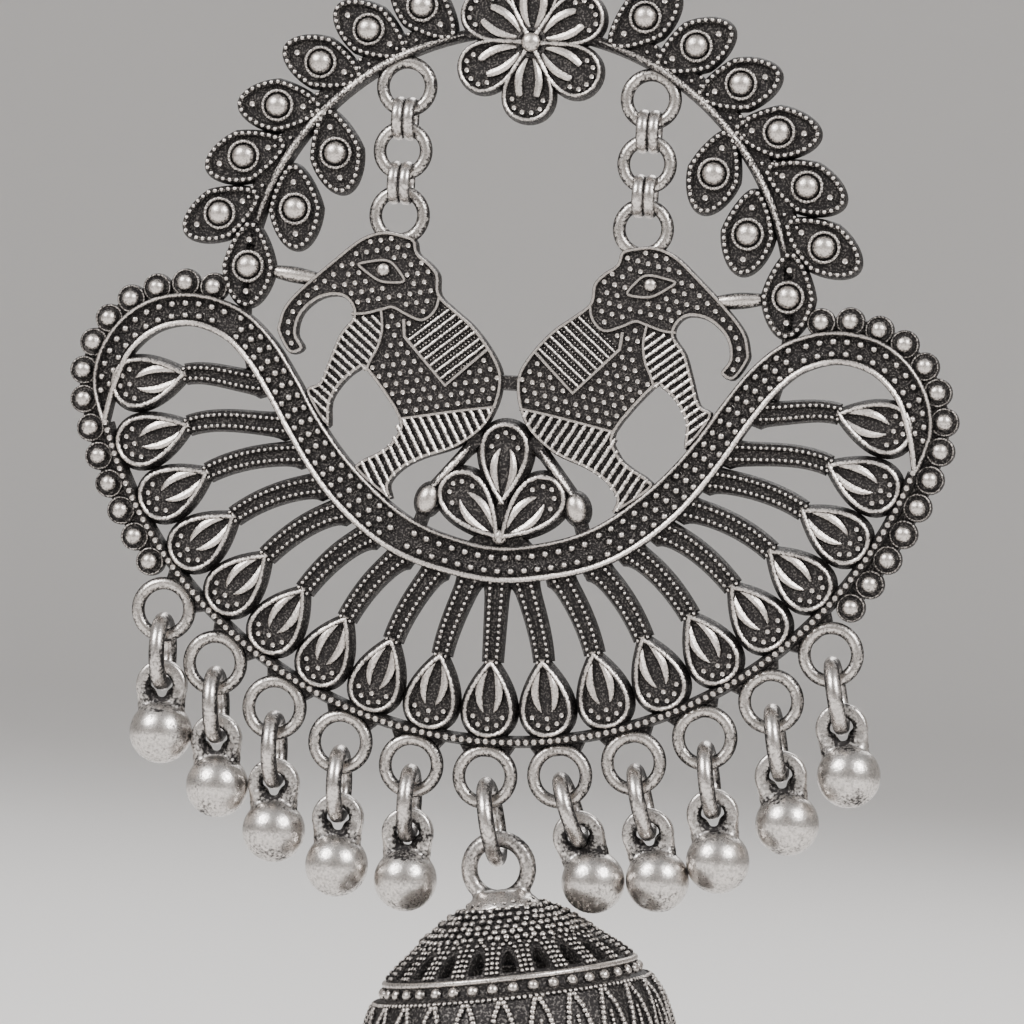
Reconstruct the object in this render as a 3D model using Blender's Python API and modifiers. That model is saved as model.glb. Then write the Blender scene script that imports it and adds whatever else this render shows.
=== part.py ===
"""Chandbali drop earring in oxidised silver, hanging as it is worn.

Metres, +Z up, the front of the plate faces -Y and the plate is symmetric about X = 0.
The origin is on the ear post, at the back face of the pad that lies on the ear lobe.
"""

import math

import bmesh
import bpy
from mathutils import Matrix, Vector

# Plate: the cast sheet, and how far its rims and kernels stand above it
PLATE_THICKNESS = 0.0012
RELIEF = 0.0004
RIM_WIDTH = 0.0003

# Ear post and its pad, behind the flower
PAD_RADIUS = 0.003
PAD_THICKNESS = 0.0005
POST_RADIUS = 0.00045
POST_LENGTH = 0.011

# Flower over the post
FLOWER_RADIUS = 0.0055
FLOWER_PETALS = 6
FLOWER_PETAL_WIDTH = 0.00345
FLOWER_HEART = 0.00072

# Crescent: its circle's centre lies below the flower, and all its rows follow that circle
FLOWER_TO_CRESCENT = 0.0186
CRESCENT_RADIUS = 0.0297
RIM_ARC_WIDTH = 0.0008
BAND_WIDTH = 0.0025
TEARDROPS = 19
TEARDROP_LENGTH = 0.0055
TEARDROP_WIDTH = 0.0036
TEARDROP_ARC = math.radians(76.05)
END_TEARDROP_INWARD = 0.0007
RIB_ROOT_WIDTH = 0.0015
RIB_TIP_WIDTH = 0.0012
EDGE_BEAD_RADIUS = 0.001
EDGE_BEADS = 14
EDGE_BEADS_START = 0.714
EDGE_BEADS_END = math.radians(52.4)

# Wreath round the flower, with its leaves
STEM_RADIUS = 0.0003
STEM_ABOVE_FLOWER = 0.0009
LEAF_INNER_REACH = 0.0033
LEAF_OUTER_REACH = 0.0028
LEAF_WIDTH = 0.0036
LEAF_BOSS = 0.0011
LEAF_OUT = 0.0027

# Trefoil and buds between the two elephants
TREFOIL_LENGTH = 0.0058
TREFOIL_WIDTH = 0.0034
BUD_LENGTH = 0.0022
BUD_WIDTH = 0.0016
BUD_STEM_WIDTH = 0.0007
RUMP_BRIDGE_WIDTH = 0.0011

# Loops cast on the crescent, and the drops that hang from them
LOOPS = 11
LOOP_SPREAD = math.radians(46.5)
LOOP_HOLE = 0.001375
LOOP_WIRE = 0.00045
RING_HOLE = 0.00165
RING_WIRE = 0.00055
DROP_BEAD = 0.0022
BAIL_HOLE = 0.000825
BAIL_WIRE = 0.00049
BAIL_TO_BEAD = 0.00325
CLEARANCE = 0.00025
# How much of that clearance each drop's rings keep, with the loops counted from the left
DROP_PLAY = (0.4, 0.4, 0.4, 0.4, 1.1, 1.0, 1.4, 1.0, 0.4, 0.6, 0.7)

# Chains from the stem down to the elephants' heads
CHAIN_RING_WIRE = 0.00034
CHAIN_LINK_WIRE = 0.00028
CHAIN_LINK_SPACE = 0.00012
# Outer radii of the chain's rings, as shares of the pitch between their centres
CHAIN_END_SHARE = 0.955
CHAIN_MIDDLE_SHARE = 0.93
CHAIN_LINK_SHARE = 0.80
SOLDER_LAP = 0.0001
HEAD_LAP = 0.0008

# Bell under the middle loop
BELL_RING_HOLE = 0.00205
BELL_LEAN = math.radians(10.1)
BELL_LOOP_HOLE = 0.00145
BELL_LOOP_WIRE = 0.0006
BELL_LOOP_TO_CAP = 0.0020
BELL_RADIUS = 0.0113
BELL_HEIGHT = 0.0155
BELL_WALL = 0.0008
BELL_HOLES = 22
BELL_HOLE_WIDTH = 0.0011
BELL_HOLE_LENGTH = 0.0017

# Sides of the meshed round pieces, and the widest gap that a weld closes
RING_SIDES = 10
WIRE_SIDES = 5
BEAD_SIDES = 10
BELL_RING_SIDES = 12
WELD = 2e-6

BACK = -PAD_THICKNESS
FRONT = BACK - PLATE_THICKNESS
TOP = FRONT - RELIEF
MIDDLE = (BACK + FRONT) / 2
CRESCENT_Z = -FLOWER_TO_CRESCENT
LAP = PLATE_THICKNESS / 4

# The band's middle line: across and down from the crescent's centre, as shares of CRESCENT_RADIUS,
# and its width as a share of BAND_WIDTH
BAND_LINE = [
    ("across", "down", "width"),
    (0.000, 0.589, 1.00),
    (0.097, 0.577, 1.02),
    (0.200, 0.548, 1.08),
    (0.284, 0.502, 1.12),
    (0.364, 0.435, 1.12),
    (0.427, 0.365, 1.06),
    (0.486, 0.283, 1.00),
    (0.532, 0.209, 1.00),
    (0.595, 0.123, 1.00),
    (0.664, 0.065, 0.97),
    (0.760, 0.039, 0.92),
    (0.856, 0.061, 0.93),
    (0.926, 0.128, 0.88),
    (0.956, 0.217, 0.75),
    (0.953, 0.318, 0.16),
]

# Where each rib leaves the band's lower rim, and how far its first stretch leans out, in degrees,
# from the middle rib to the outermost; across is a share of CRESCENT_RADIUS
RIB_ROOTS = [
    ("across", "lean"),
    (0.000, 0),
    (0.064, 12),
    (0.147, 20),
    (0.232, 26),
    (0.308, 30),
    (0.377, 32),
    (0.431, 32),
    (0.483, 28),
    (0.525, 22),
    (0.589, 14),
]

# Outer leaves, from the wreath's foot to the flower: place round the wreath and turn, in degrees
OUTER_LEAVES = [
    ("place", "turn"),
    (13.7, -30),
    (25.1, -21),
    (36.3, 0),
    (47.5, 19),
    (58.2, 31),
    (69.0, 42),
]

# Inner leaves hang under the stem: place round the wreath and lean, in degrees, and how far in
# from the stem, as a share of LEAF_OUT
INNER_LEAVES = [
    ("place", "inward", "lean"),
    (36.5, 0.963, 15),
    (20.0, 0.815, 6),
    (4.8, 0.037, 0),
]

# Where the wreath's stem would land, from the crescent's centre, as shares of CRESCENT_RADIUS
SHOULDER = (0.613, 0.168)

# The right-hand elephant: across and down from the crescent's centre, as shares of CRESCENT_RADIUS
ELEPHANT = {
    "body": [
        (0.321, -0.169), (0.276, -0.165), (0.243, -0.153), (0.233, -0.123), (0.203, -0.100),
        (0.182, -0.074), (0.176, -0.030), (0.139, 0.003), (0.095, 0.037), (0.053, 0.085),
        (0.023, 0.135), (0.018, 0.175), (0.028, 0.224), (0.055, 0.275), (0.115, 0.323),
        (0.192, 0.353), (0.240, 0.382), (0.268, 0.419), (0.264, 0.452), (0.345, 0.392),
        (0.338, 0.369), (0.295, 0.344), (0.266, 0.317), (0.254, 0.265), (0.336, 0.158),
        (0.358, 0.157), (0.392, 0.188), (0.418, 0.235), (0.420, 0.295), (0.476, 0.215),
        (0.446, 0.190), (0.426, 0.132), (0.406, 0.075), (0.378, 0.036), (0.384, 0.006),
        (0.411, -0.013), (0.457, -0.005), (0.498, 0.032), (0.509, 0.080), (0.491, 0.114),
        (0.522, 0.127), (0.552, 0.083), (0.553, 0.058), (0.540, 0.016), (0.499, -0.033),
        (0.422, -0.106), (0.370, -0.150),
    ],
    "cheek": [
        (0.381, 0.027), (0.285, 0.006), (0.221, 0.032), (0.182, 0.000), (0.184, -0.062),
        (0.240, -0.118), (0.250, -0.148), (0.321, -0.161), (0.370, -0.142), (0.455, -0.068),
        (0.440, -0.028), (0.386, -0.006),
    ],
    "saddle": [
        (0.253, 0.073), (0.150, 0.181), (0.058, 0.095), (0.081, 0.058), (0.139, 0.012),
        (0.180, 0.002), (0.204, 0.033),
    ],
    "eye": [
        (0.372, -0.089), (0.317, -0.102), (0.278, -0.081), (0.262, -0.057), (0.318, -0.053),
        (0.359, -0.077),
    ],
}
EYE_BALL = (0.314, -0.080)
EYE_BALL_RADIUS = 0.0004
TRUNK_PEG = ((0.462, -0.050), (0.577, -0.062))
PEG_RADIUS = 0.00045
RUMP_BRIDGE = (0.165, 0.030)
CHAIN_FOOT = (0.287, -0.165)

# Trefoil petals and the bud, from the crescent's centre, as shares of CRESCENT_RADIUS
TREFOIL_FOOT = 0.531
TREFOIL_NECK = 0.452
TREFOIL_TURN = math.radians(43)
BUD_PLACE = (0.175, 0.448)
BUD_TURN = math.radians(17)
BUD_STEM_TOP = (0.082, 0.318)

# The bell's outer wall: radius as a share of BELL_RADIUS, depth under the cap's crown as a share
# of BELL_HEIGHT
BELL_PROFILE = [
    ("radius", "depth"),
    (0.230, 0.032),
    (0.398, 0.097),
    (0.558, 0.181),
    (0.735, 0.277),
    (0.779, 0.316),
    (0.850, 0.370),
    (0.938, 0.548),
    (1.000, 0.774),
    (0.991, 1.000),
]
BELL_HOLE_PLACE = 0.262

# Lean of each hanging drop from plumb, in degrees, from the left-hand loop to the right-hand one
DROP_LEANS = [2.3, 4.7, 3.3, 1.9, 0.8, 12.6, 21.4, 15.2, 9.7, 11.2, 12.1]


def rows(table):
    """The rows of a table, without the names of its columns."""
    return table[1:]


def crescent_point(across, down):
    """A point of the plate, given in shares of the crescent's radius from its centre."""
    return Vector((across * CRESCENT_RADIUS, CRESCENT_Z - down * CRESCENT_RADIUS))


def smooth_line(points, steps):
    """Points on a smooth curve through the given ones, each stretch cut in steps."""
    ends = [2 * points[0] - points[1], *points, 2 * points[-1] - points[-2]]
    line = []
    for i in range(1, len(ends) - 2):
        a, b, c, d = ends[i - 1:i + 3]
        for step in range(steps):
            t = step / steps
            curve = 2 * b + (c - a) * t
            curve += (2 * a - 5 * b + 4 * c - d) * t ** 2
            curve += (3 * b - a - 3 * c + d) * t ** 3
            line.append(curve / 2)
    line.append(points[-1].copy())
    return line


def polar(centre, radius, angle):
    """A point at an angle from the +X direction round a centre."""
    return centre + Vector((math.cos(angle), math.sin(angle))) * radius


def normals(line):
    """The unit normal at each point of a line, on its left."""
    result = []
    for i, _ in enumerate(line):
        along = line[min(i + 1, len(line) - 1)] - line[max(i - 1, 0)]
        result.append(Vector((-along.y, along.x)).normalized())
    return result


def strip(line, widths):
    """The closed outline of a strip that follows a line."""
    sides = normals(line)
    left = [p + n * w / 2 for p, n, w in zip(line, sides, widths)]
    right = [p - n * w / 2 for p, n, w in zip(line, sides, widths)]
    return left + right[::-1]


def mirrored(points):
    """The same points on the other side of the plate."""
    return [Vector((-p.x, p.y)) for p in points]


def on_side(hand, across, down):
    """A point of the plate's left half, for a hand of -1, or of its right half."""
    point = crescent_point(across, down)
    return Vector((hand * point.x, point.y))


def between(values, share):
    """The values of a table's columns at a share of the way down its evenly spaced rows."""
    place = (len(values) - 1) * share
    i = min(int(place), len(values) - 2)
    rest = place - i
    return [a * (1 - rest) + b * rest for a, b in zip(values[i], values[i + 1])]


def link(obj, collection):
    """Put an object in one collection only."""
    for other in obj.users_collection:
        other.objects.unlink(obj)
    collection.objects.link(obj)
    return obj


def as_mesh(obj):
    """A mesh object in the place of a curve or of a mesh with modifiers."""
    collection = obj.users_collection[0]
    depsgraph = bpy.context.evaluated_depsgraph_get()
    mesh = bpy.data.meshes.new_from_object(obj.evaluated_get(depsgraph))
    bm = bmesh.new()
    bm.from_mesh(mesh)
    bmesh.ops.remove_doubles(bm, verts=bm.verts, dist=WELD)
    bmesh.ops.recalc_face_normals(bm, faces=bm.faces)
    bm.to_mesh(mesh)
    bm.free()
    solid = bpy.data.objects.new(obj.name + "_solid", mesh)
    solid.matrix_world = obj.matrix_world
    collection.objects.link(solid)
    bpy.data.objects.remove(obj)
    return solid


def flat_piece(name, outlines, front, back, collection):
    """A flat solid in the plate, from closed outlines; an outline inside another is a hole."""
    curve = bpy.data.curves.new(name, "CURVE")
    curve.dimensions = "2D"
    curve.fill_mode = "BOTH"
    curve.extrude = (back - front) / 2
    for outline in outlines:
        spline = curve.splines.new("POLY")
        spline.points.add(len(outline) - 1)
        for point, place in zip(spline.points, outline):
            point.co = (place.x, place.y, 0.0, 1.0)
        spline.use_cyclic_u = True
    obj = bpy.data.objects.new(name, curve)
    collection.objects.link(obj)
    obj.matrix_world = Matrix.Translation((0.0, (front + back) / 2, 0.0)) @ Matrix.Rotation(
        math.pi / 2, 4, "X"
    )
    bpy.context.view_layer.update()
    return as_mesh(obj)


def raised_rim(obj, width, depth):
    """Sink the front of a flat piece inside its edge, so that the edge stands up as a rim."""
    bm = bmesh.new()
    bm.from_mesh(obj.data)
    bmesh.ops.transform(bm, matrix=obj.matrix_world, verts=bm.verts)
    front = [f for f in bm.faces if f.normal.y < -0.9]
    face = bmesh.ops.dissolve_faces(bm, faces=front)["region"]
    bmesh.ops.inset_region(bm, faces=face, thickness=width, use_even_offset=True)
    bmesh.ops.inset_region(bm, faces=face, thickness=depth / 4, depth=-depth, use_even_offset=True)
    bm.to_mesh(obj.data)
    bm.free()
    obj.matrix_world = Matrix.Identity(4)
    return obj


def petal_outline(foot, turn, length, width, count):
    """A petal with its point at the foot and a round end; turn is measured from straight up."""
    along = Vector((-math.sin(turn), math.cos(turn)))
    side = Vector((along.y, -along.x))
    widest = 0.7698
    outline = []
    for i in range(count):
        t = 2 * math.pi * i / count
        reach = length * (1 - math.cos(t)) / 2
        bulge = width / 2 * math.sin(t) * math.sin(t / 2) / widest
        outline.append(foot + along * reach + side * bulge)
    return outline


# Kernels on a petal: along the petal's length, and across its half width, as shares
SPLIT_KERNEL = [(0.13, 0.05), (0.42, 0.50), (0.66, 0.15), (0.42, 0.20)]
WHOLE_KERNEL = [(0.13, 0.00), (0.42, 0.45), (0.66, 0.00), (0.42, -0.45)]


def add_petal(name, foot, turn, length, width, collection, split=True):
    """A petal with a raised rim round a sunk floor, and on it a kernel, split in two or whole."""
    outline = petal_outline(foot, turn, length, width, 10 if split else 8)
    raised_rim(flat_piece(name, [outline], TOP, BACK, collection), RIM_WIDTH, RELIEF)
    along = Vector((-math.sin(turn), math.cos(turn)))
    side = Vector((along.y, -along.x)) * width / 2
    for hand in (-1, 1) if split else (1,):
        shape = SPLIT_KERNEL if split else WHOLE_KERNEL
        kernel = [foot + along * a * length + side * hand * b for a, b in shape]
        flat_piece(f"{name}_kernel", [kernel], FRONT - RELIEF * 0.9, FRONT + LAP, collection)


def add_dome(name, place, radius, height, base, collection, sides=7):
    """A round bead that stands on the plate; base is where its foot lies."""
    bpy.ops.mesh.primitive_uv_sphere_add(segments=sides, ring_count=4, radius=radius)
    obj = link(bpy.context.object, collection)
    obj.name = name
    obj.matrix_world = Matrix.Translation((place.x, base, place.y)) @ Matrix.Diagonal(
        (1.0, height / radius, 1.0, 1.0)
    ) @ Matrix.Rotation(math.pi / 2, 4, "X")
    return obj


def add_stud(name, place, radius, height, foot, collection, sides=6):
    """A low round stud with a smaller flat top, sunk a little into what carries it."""
    bottom = foot + LAP
    bpy.ops.mesh.primitive_cone_add(
        vertices=sides, radius1=radius, radius2=radius * 0.5, depth=height + LAP
    )
    obj = link(bpy.context.object, collection)
    obj.name = name
    middle = bottom - (height + LAP) / 2
    obj.matrix_world = Matrix.Translation((place.x, middle, place.y)) @ Matrix.Rotation(
        math.pi / 2, 4, "X"
    )
    return obj


def ring_mesh(name, hole, wire, sides=RING_SIDES, wire_sides=WIRE_SIDES):
    """The mesh of a round ring about its Z axis."""
    bpy.ops.mesh.primitive_torus_add(
        major_radius=hole + wire,
        minor_radius=wire,
        major_segments=sides,
        minor_segments=wire_sides,
    )
    obj = bpy.context.object
    mesh = obj.data
    mesh.name = name
    bpy.data.objects.remove(obj)
    return mesh


def ring_in_plate(name, place, hole, wire, collection):
    """A ring that lies in the plate's plane."""
    obj = bpy.data.objects.new(name, ring_mesh(name, hole, wire))
    collection.objects.link(obj)
    obj.matrix_world = Matrix.Translation((place.x, MIDDLE, place.y)) @ Matrix.Rotation(
        math.pi / 2, 4, "X"
    )
    return obj


def band_sides():
    """The band's upper and lower edges, from the middle to its right-hand tip."""
    middle = [crescent_point(a, d) for a, d, _ in rows(BAND_LINE)]
    line = smooth_line(middle, 1)
    shares = smooth_line([Vector((w, 0.0)) for _, _, w in rows(BAND_LINE)], 1)
    sides = normals(line)
    sides[0] = Vector((0.0, 1.0))
    upper = [p + n * s.x * BAND_WIDTH / 2 for p, n, s in zip(line, sides, shares)]
    lower = [p - n * s.x * BAND_WIDTH / 2 for p, n, s in zip(line, sides, shares)]
    return upper, lower


def on_line_at(line, x):
    """The point of a line where it first passes a place across."""
    for a, b in zip(line, line[1:]):
        if a.x <= x <= b.x and b.x > a.x:
            return a + (b - a) * (x - a.x) / (b.x - a.x)
    return line[-1].copy()


def wreath_circle():
    """The circle of the wreath's stem: behind the flower at its top, and down to the shoulders."""
    shoulder = crescent_point(*SHOULDER)
    top = STEM_ABOVE_FLOWER
    centre = (top ** 2 - shoulder.x ** 2 - shoulder.y ** 2) / (2 * (top - shoulder.y))
    return Vector((0.0, centre)), top - centre


def leaf_outline(place, turn):
    """A leaf, pointed at its inner end; turn is the round end's direction from the +X direction."""
    along = Vector((math.cos(turn), math.sin(turn)))
    side = Vector((-along.y, along.x))
    outline = []
    for i in range(8):
        t = 2 * math.pi * i / 8
        share = math.cos(t)
        reach = share * (LEAF_OUTER_REACH if share > 0 else LEAF_INNER_REACH)
        outline.append(place + along * reach + side * math.sin(t) * LEAF_WIDTH / 2)
    return outline


def add_leaf(name, place, turn, level, collection):
    """A leaf with a round boss; level 1 lies a hair deeper, clear of its neighbour's faces."""
    step = level * PLATE_THICKNESS / 40
    flat_piece(name, [leaf_outline(place, turn)], FRONT - step, BACK - step, collection)
    add_stud(f"{name}_boss", place, LEAF_BOSS, RELIEF * 1.6, FRONT - step, collection)


def build_wreath(collection):
    """The stem behind the flower, with its outer and inner leaves on both sides."""
    centre, radius = wreath_circle()
    shoulder = crescent_point(*SHOULDER)
    first = math.atan2(shoulder.y - centre.y, shoulder.x - centre.x)
    sweep = math.pi - 2 * first
    count = 16
    arc = [polar(centre, radius, first + sweep * i / count) for i in range(count + 1)]
    outline = strip(arc, [2 * STEM_RADIUS] * len(arc))
    flat_piece("stem", [outline], FRONT - RELIEF / 2, BACK + LAP / 3, collection)
    for hand in (-1, 1):
        for i, (place, turn) in enumerate(rows(OUTER_LEAVES)):
            angle = math.radians(place)
            spot = polar(centre, radius + LEAF_OUT, angle)
            tip = math.radians(turn)
            if hand < 0:
                spot = Vector((-spot.x, spot.y))
                tip = math.pi - tip
            add_leaf("outer_leaf", spot, tip, i % 2, collection)
        for i, (place, inward, lean) in enumerate(rows(INNER_LEAVES)):
            spot = polar(centre, radius - inward * LEAF_OUT, math.radians(place))
            tip = -math.pi / 2 - math.radians(lean)
            if hand < 0:
                spot = Vector((-spot.x, spot.y))
                tip = math.pi - tip
            add_leaf("inner_leaf", spot, tip, i % 2, collection)


def build_flower(collection):
    """Petals round a heart, with the ear post and its pad behind them."""
    heart = Vector((0.0, 0.0))
    for i in range(FLOWER_PETALS):
        turn = math.pi + 2 * math.pi * i / FLOWER_PETALS
        add_petal("flower_petal", heart, turn, FLOWER_RADIUS, FLOWER_PETAL_WIDTH, collection)
    add_dome("flower_heart", heart, FLOWER_HEART, RELIEF * 2.2, FRONT, collection)
    for name, radius, start, end in (
        ("pad", PAD_RADIUS, BACK - LAP, 0.0),
        ("post", POST_RADIUS, BACK - LAP * 1.5, POST_LENGTH),
    ):
        bpy.ops.mesh.primitive_cylinder_add(
            vertices=RING_SIDES, radius=radius, depth=end - start
        )
        obj = link(bpy.context.object, collection)
        obj.name = name
        obj.matrix_world = Matrix.Translation((0.0, (start + end) / 2, 0.0)) @ Matrix.Rotation(
            math.pi / 2, 4, "X"
        )


def build_band(collection):
    """The flat band of the crescent's inner edge, with a raised rim on each side."""
    upper, lower = band_sides()
    edge = mirrored(upper[:0:-1]) + upper + lower[:0:-1] + [lower[0]] + mirrored(lower[1:])
    flat_piece("band", [edge], FRONT, BACK, collection)
    for name, side in (("band_upper_rim", upper), ("band_lower_rim", lower)):
        line = mirrored(side[:0:-1]) + side
        outline = strip(line, [RIM_WIDTH * 1.3] * len(line))
        flat_piece(name, [outline], TOP, FRONT + LAP, collection)


def build_crescent(collection):
    """The rim arc, the teardrops inside it and the ribs that tie them to the band."""
    centre = Vector((0.0, CRESCENT_Z))
    _, lower = band_sides()
    tip = crescent_point(rows(BAND_LINE)[-1][0], rows(BAND_LINE)[-1][1])
    first = math.atan2(tip.x, centre.y - tip.y)
    count = 24
    angles = [-math.pi / 2 - first + 2 * first * i / count for i in range(count + 1)]
    arc = [polar(centre, CRESCENT_RADIUS, a) for a in angles]
    flat_piece("rim_arc", [strip(arc, [RIM_ARC_WIDTH] * len(arc))], TOP, BACK + LAP / 2, collection)
    reach = CRESCENT_RADIUS - RIM_ARC_WIDTH / 4 - TEARDROP_LENGTH
    half = (TEARDROPS - 1) // 2
    for n in range(-half, half + 1):
        swing = TEARDROP_ARC * n / half
        foot_radius = reach - END_TEARDROP_INWARD if abs(n) == half else reach
        foot = polar(centre, foot_radius, swing - math.pi / 2)
        turn = math.pi + swing
        add_petal("teardrop", foot, turn, TEARDROP_LENGTH, TEARDROP_WIDTH, collection, split=False)
        across, lean = between(rows(RIB_ROOTS), abs(n) / half)
        root = on_line_at(lower, across * CRESCENT_RADIUS)
        root.y += BAND_WIDTH / 4
        end = polar(centre, foot_radius + TEARDROP_LENGTH / 6, abs(swing) - math.pi / 2)
        pull = (end - root).length / 3
        leaving = polar(root, pull, abs(swing) - math.pi / 2 + math.radians(lean))
        arriving = polar(end, -pull, abs(swing) - math.pi / 2)
        line = []
        for i in range(3):
            t = i / 2
            line.append(
                root * (1 - t) ** 3 + leaving * 3 * t * (1 - t) ** 2
                + arriving * 3 * t ** 2 * (1 - t) + end * t ** 3
            )
        widths = [RIB_ROOT_WIDTH, (RIB_ROOT_WIDTH + RIB_TIP_WIDTH) / 2, RIB_TIP_WIDTH]
        outline = mirrored(strip(line, widths)) if n < 0 else strip(line, widths)
        flat_piece("rib", [outline], FRONT + LAP / 2, BACK + LAP / 4, collection)


def edge_bead_places():
    """The right-hand edge beads: over the band's shoulder, then down the rim arc."""
    upper, _ = band_sides()
    sides = normals(upper)
    start = EDGE_BEADS_START * CRESCENT_RADIUS
    lift = EDGE_BEAD_RADIUS * 0.85
    edge = [p + n * lift for p, n in zip(upper, sides)]
    path = [on_line_at(edge, start)] + [p for p in edge if p.x > start]
    centre = Vector((0.0, CRESCENT_Z))
    radius = CRESCENT_RADIUS + RIM_ARC_WIDTH / 2 + EDGE_BEAD_RADIUS * 0.8
    path.pop()
    first = math.asin((CRESCENT_Z - path[-1].y) / radius)
    sweep = math.pi / 2 - EDGE_BEADS_END - first
    count = 16
    path += [polar(centre, radius, -first - sweep * i / count) for i in range(1, count + 1)]
    lengths = [0.0]
    for a, b in zip(path, path[1:]):
        lengths.append(lengths[-1] + (b - a).length)
    places = []
    for n in range(EDGE_BEADS):
        wanted = lengths[-1] * n / (EDGE_BEADS - 1)
        i = max(k for k, value in enumerate(lengths) if value <= wanted + 1e-9)
        i = min(i, len(path) - 2)
        share = (wanted - lengths[i]) / (lengths[i + 1] - lengths[i])
        places.append(path[i].lerp(path[i + 1], share))
    return places


def build_edge(collection):
    """The beads along the outer edge and the loops for the drops."""
    for hand in (-1, 1):
        for i, place in enumerate(edge_bead_places()):
            spot = Vector((hand * place.x, place.y))
            step = LAP / 3 * (1 + i % 2)
            height = PLATE_THICKNESS - step + RELIEF
            foot = BACK - LAP - step
            add_stud("edge_bead", spot, EDGE_BEAD_RADIUS, height - LAP, foot, collection)
    for n in range(LOOPS):
        ring_in_plate("loop", loop_place(n), LOOP_HOLE, LOOP_WIRE, collection)


def loop_place(n):
    """The centre of a loop, counted from the left."""
    angle = LOOP_SPREAD * (2 * n / (LOOPS - 1) - 1) - math.pi / 2
    radius = CRESCENT_RADIUS + RIM_ARC_WIDTH / 2 + LOOP_HOLE + LOOP_WIRE * 1.5
    return polar(Vector((0.0, CRESCENT_Z)), radius, angle)


def build_elephants(collection):
    """Two elephants back to back, the bridge between their rumps and the pegs at their trunks."""
    for hand in (-1, 1):
        for name, front, back in (
            ("body", FRONT - RELIEF / 4, BACK + LAP / 5),
            ("cheek", FRONT - RELIEF * 0.6, FRONT + LAP),
            ("saddle", FRONT - RELIEF * 0.5, FRONT + LAP),
            ("eye", FRONT - RELIEF, FRONT + LAP),
        ):
            outline = [on_side(hand, *p) for p in ELEPHANT[name]]
            flat_piece(f"elephant_{name}", [outline], front, back, collection)
        ball = on_side(hand, *EYE_BALL)
        add_stud("eye_ball", ball, EYE_BALL_RADIUS, RELIEF / 2, TOP + LAP / 3, collection)
        peg = strip([on_side(hand, *p) for p in TRUNK_PEG], [2 * PEG_RADIUS] * 2)
        flat_piece("trunk_peg", [peg], FRONT + LAP / 2, BACK + LAP, collection)
    bridge = [on_side(hand, RUMP_BRIDGE[1], RUMP_BRIDGE[0]) for hand in (-1, 1)]
    outline = strip(bridge, [RUMP_BRIDGE_WIDTH] * 2)
    flat_piece("rump_bridge", [outline], FRONT + LAP, BACK + LAP, collection)


def build_trefoil(collection):
    """Three petals on the band between the elephants, with a bud and its stem on each side."""
    foot = crescent_point(0.0, TREFOIL_FOOT)
    neck = crescent_point(0.0, TREFOIL_NECK)
    for hand in (-1, 1):
        turn = hand * TREFOIL_TURN
        add_petal("trefoil_side", foot, turn, TREFOIL_LENGTH, TREFOIL_WIDTH, collection)
        bud = on_side(hand, *BUD_PLACE)
        along = Vector((-hand * math.sin(BUD_TURN), math.cos(BUD_TURN)))
        side = Vector((along.y, -along.x))
        outline = []
        for i in range(8):
            t = math.tau * i / 8
            up = along * BUD_LENGTH / 2 * math.cos(t)
            outline.append(bud + up + side * BUD_WIDTH / 2 * math.sin(t))
        flat_piece("bud", [outline], TOP, BACK + LAP / 6, collection)
        stem = [on_side(hand, *BUD_STEM_TOP), bud, bud - along * BUD_LENGTH]
        outline = strip(stem, [BUD_STEM_WIDTH] * len(stem))
        flat_piece("bud_stem", [outline], FRONT - RELIEF / 3, BACK + LAP / 2, collection)
    add_petal("trefoil_top", neck, 0.0, TREFOIL_LENGTH, TREFOIL_WIDTH, collection)
    add_stud("trefoil_knot", foot, RIM_WIDTH * 2, RELIEF * 1.2, FRONT, collection)
    stalk = [foot, neck + Vector((0.0, TREFOIL_LENGTH / 4))]
    outline = strip(stalk, [TREFOIL_WIDTH / 4] * 2)
    flat_piece("trefoil_stalk", [outline], FRONT, BACK + LAP / 4, collection)


def chain_sizes():
    """The chain's places and sizes: across, top ring's height, pitch and the rings' outer radii."""
    foot = crescent_point(*CHAIN_FOOT)
    centre, radius = wreath_circle()
    stem = centre.y + math.sqrt(radius ** 2 - foot.x ** 2) - STEM_RADIUS
    pitch = (stem - foot.y + SOLDER_LAP + HEAD_LAP) / (1 + CHAIN_END_SHARE / 2) / 4
    end, middle, links = (
        share * pitch for share in (CHAIN_END_SHARE, CHAIN_MIDDLE_SHARE, CHAIN_LINK_SHARE)
    )
    return foot.x, stem + SOLDER_LAP - end, pitch, end, middle, links


def build_casting(pieces, parts, metal):
    """Fuse all that is cast or soldered together in one solid."""
    build_flower(pieces)
    build_wreath(pieces)
    build_band(pieces)
    build_crescent(pieces)
    build_edge(pieces)
    build_elephants(pieces)
    build_trefoil(pieces)
    across, top, pitch, end, _, _ = chain_sizes()
    for hand in (-1, 1):
        for steps in (0, 4):
            place = Vector((hand * across, top - steps * pitch))
            hole = end - 2 * CHAIN_RING_WIRE
            ring_in_plate("chain_end", place, hole, CHAIN_RING_WIRE, pieces)
    return fused("frame_casting", pieces, parts, metal)


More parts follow.
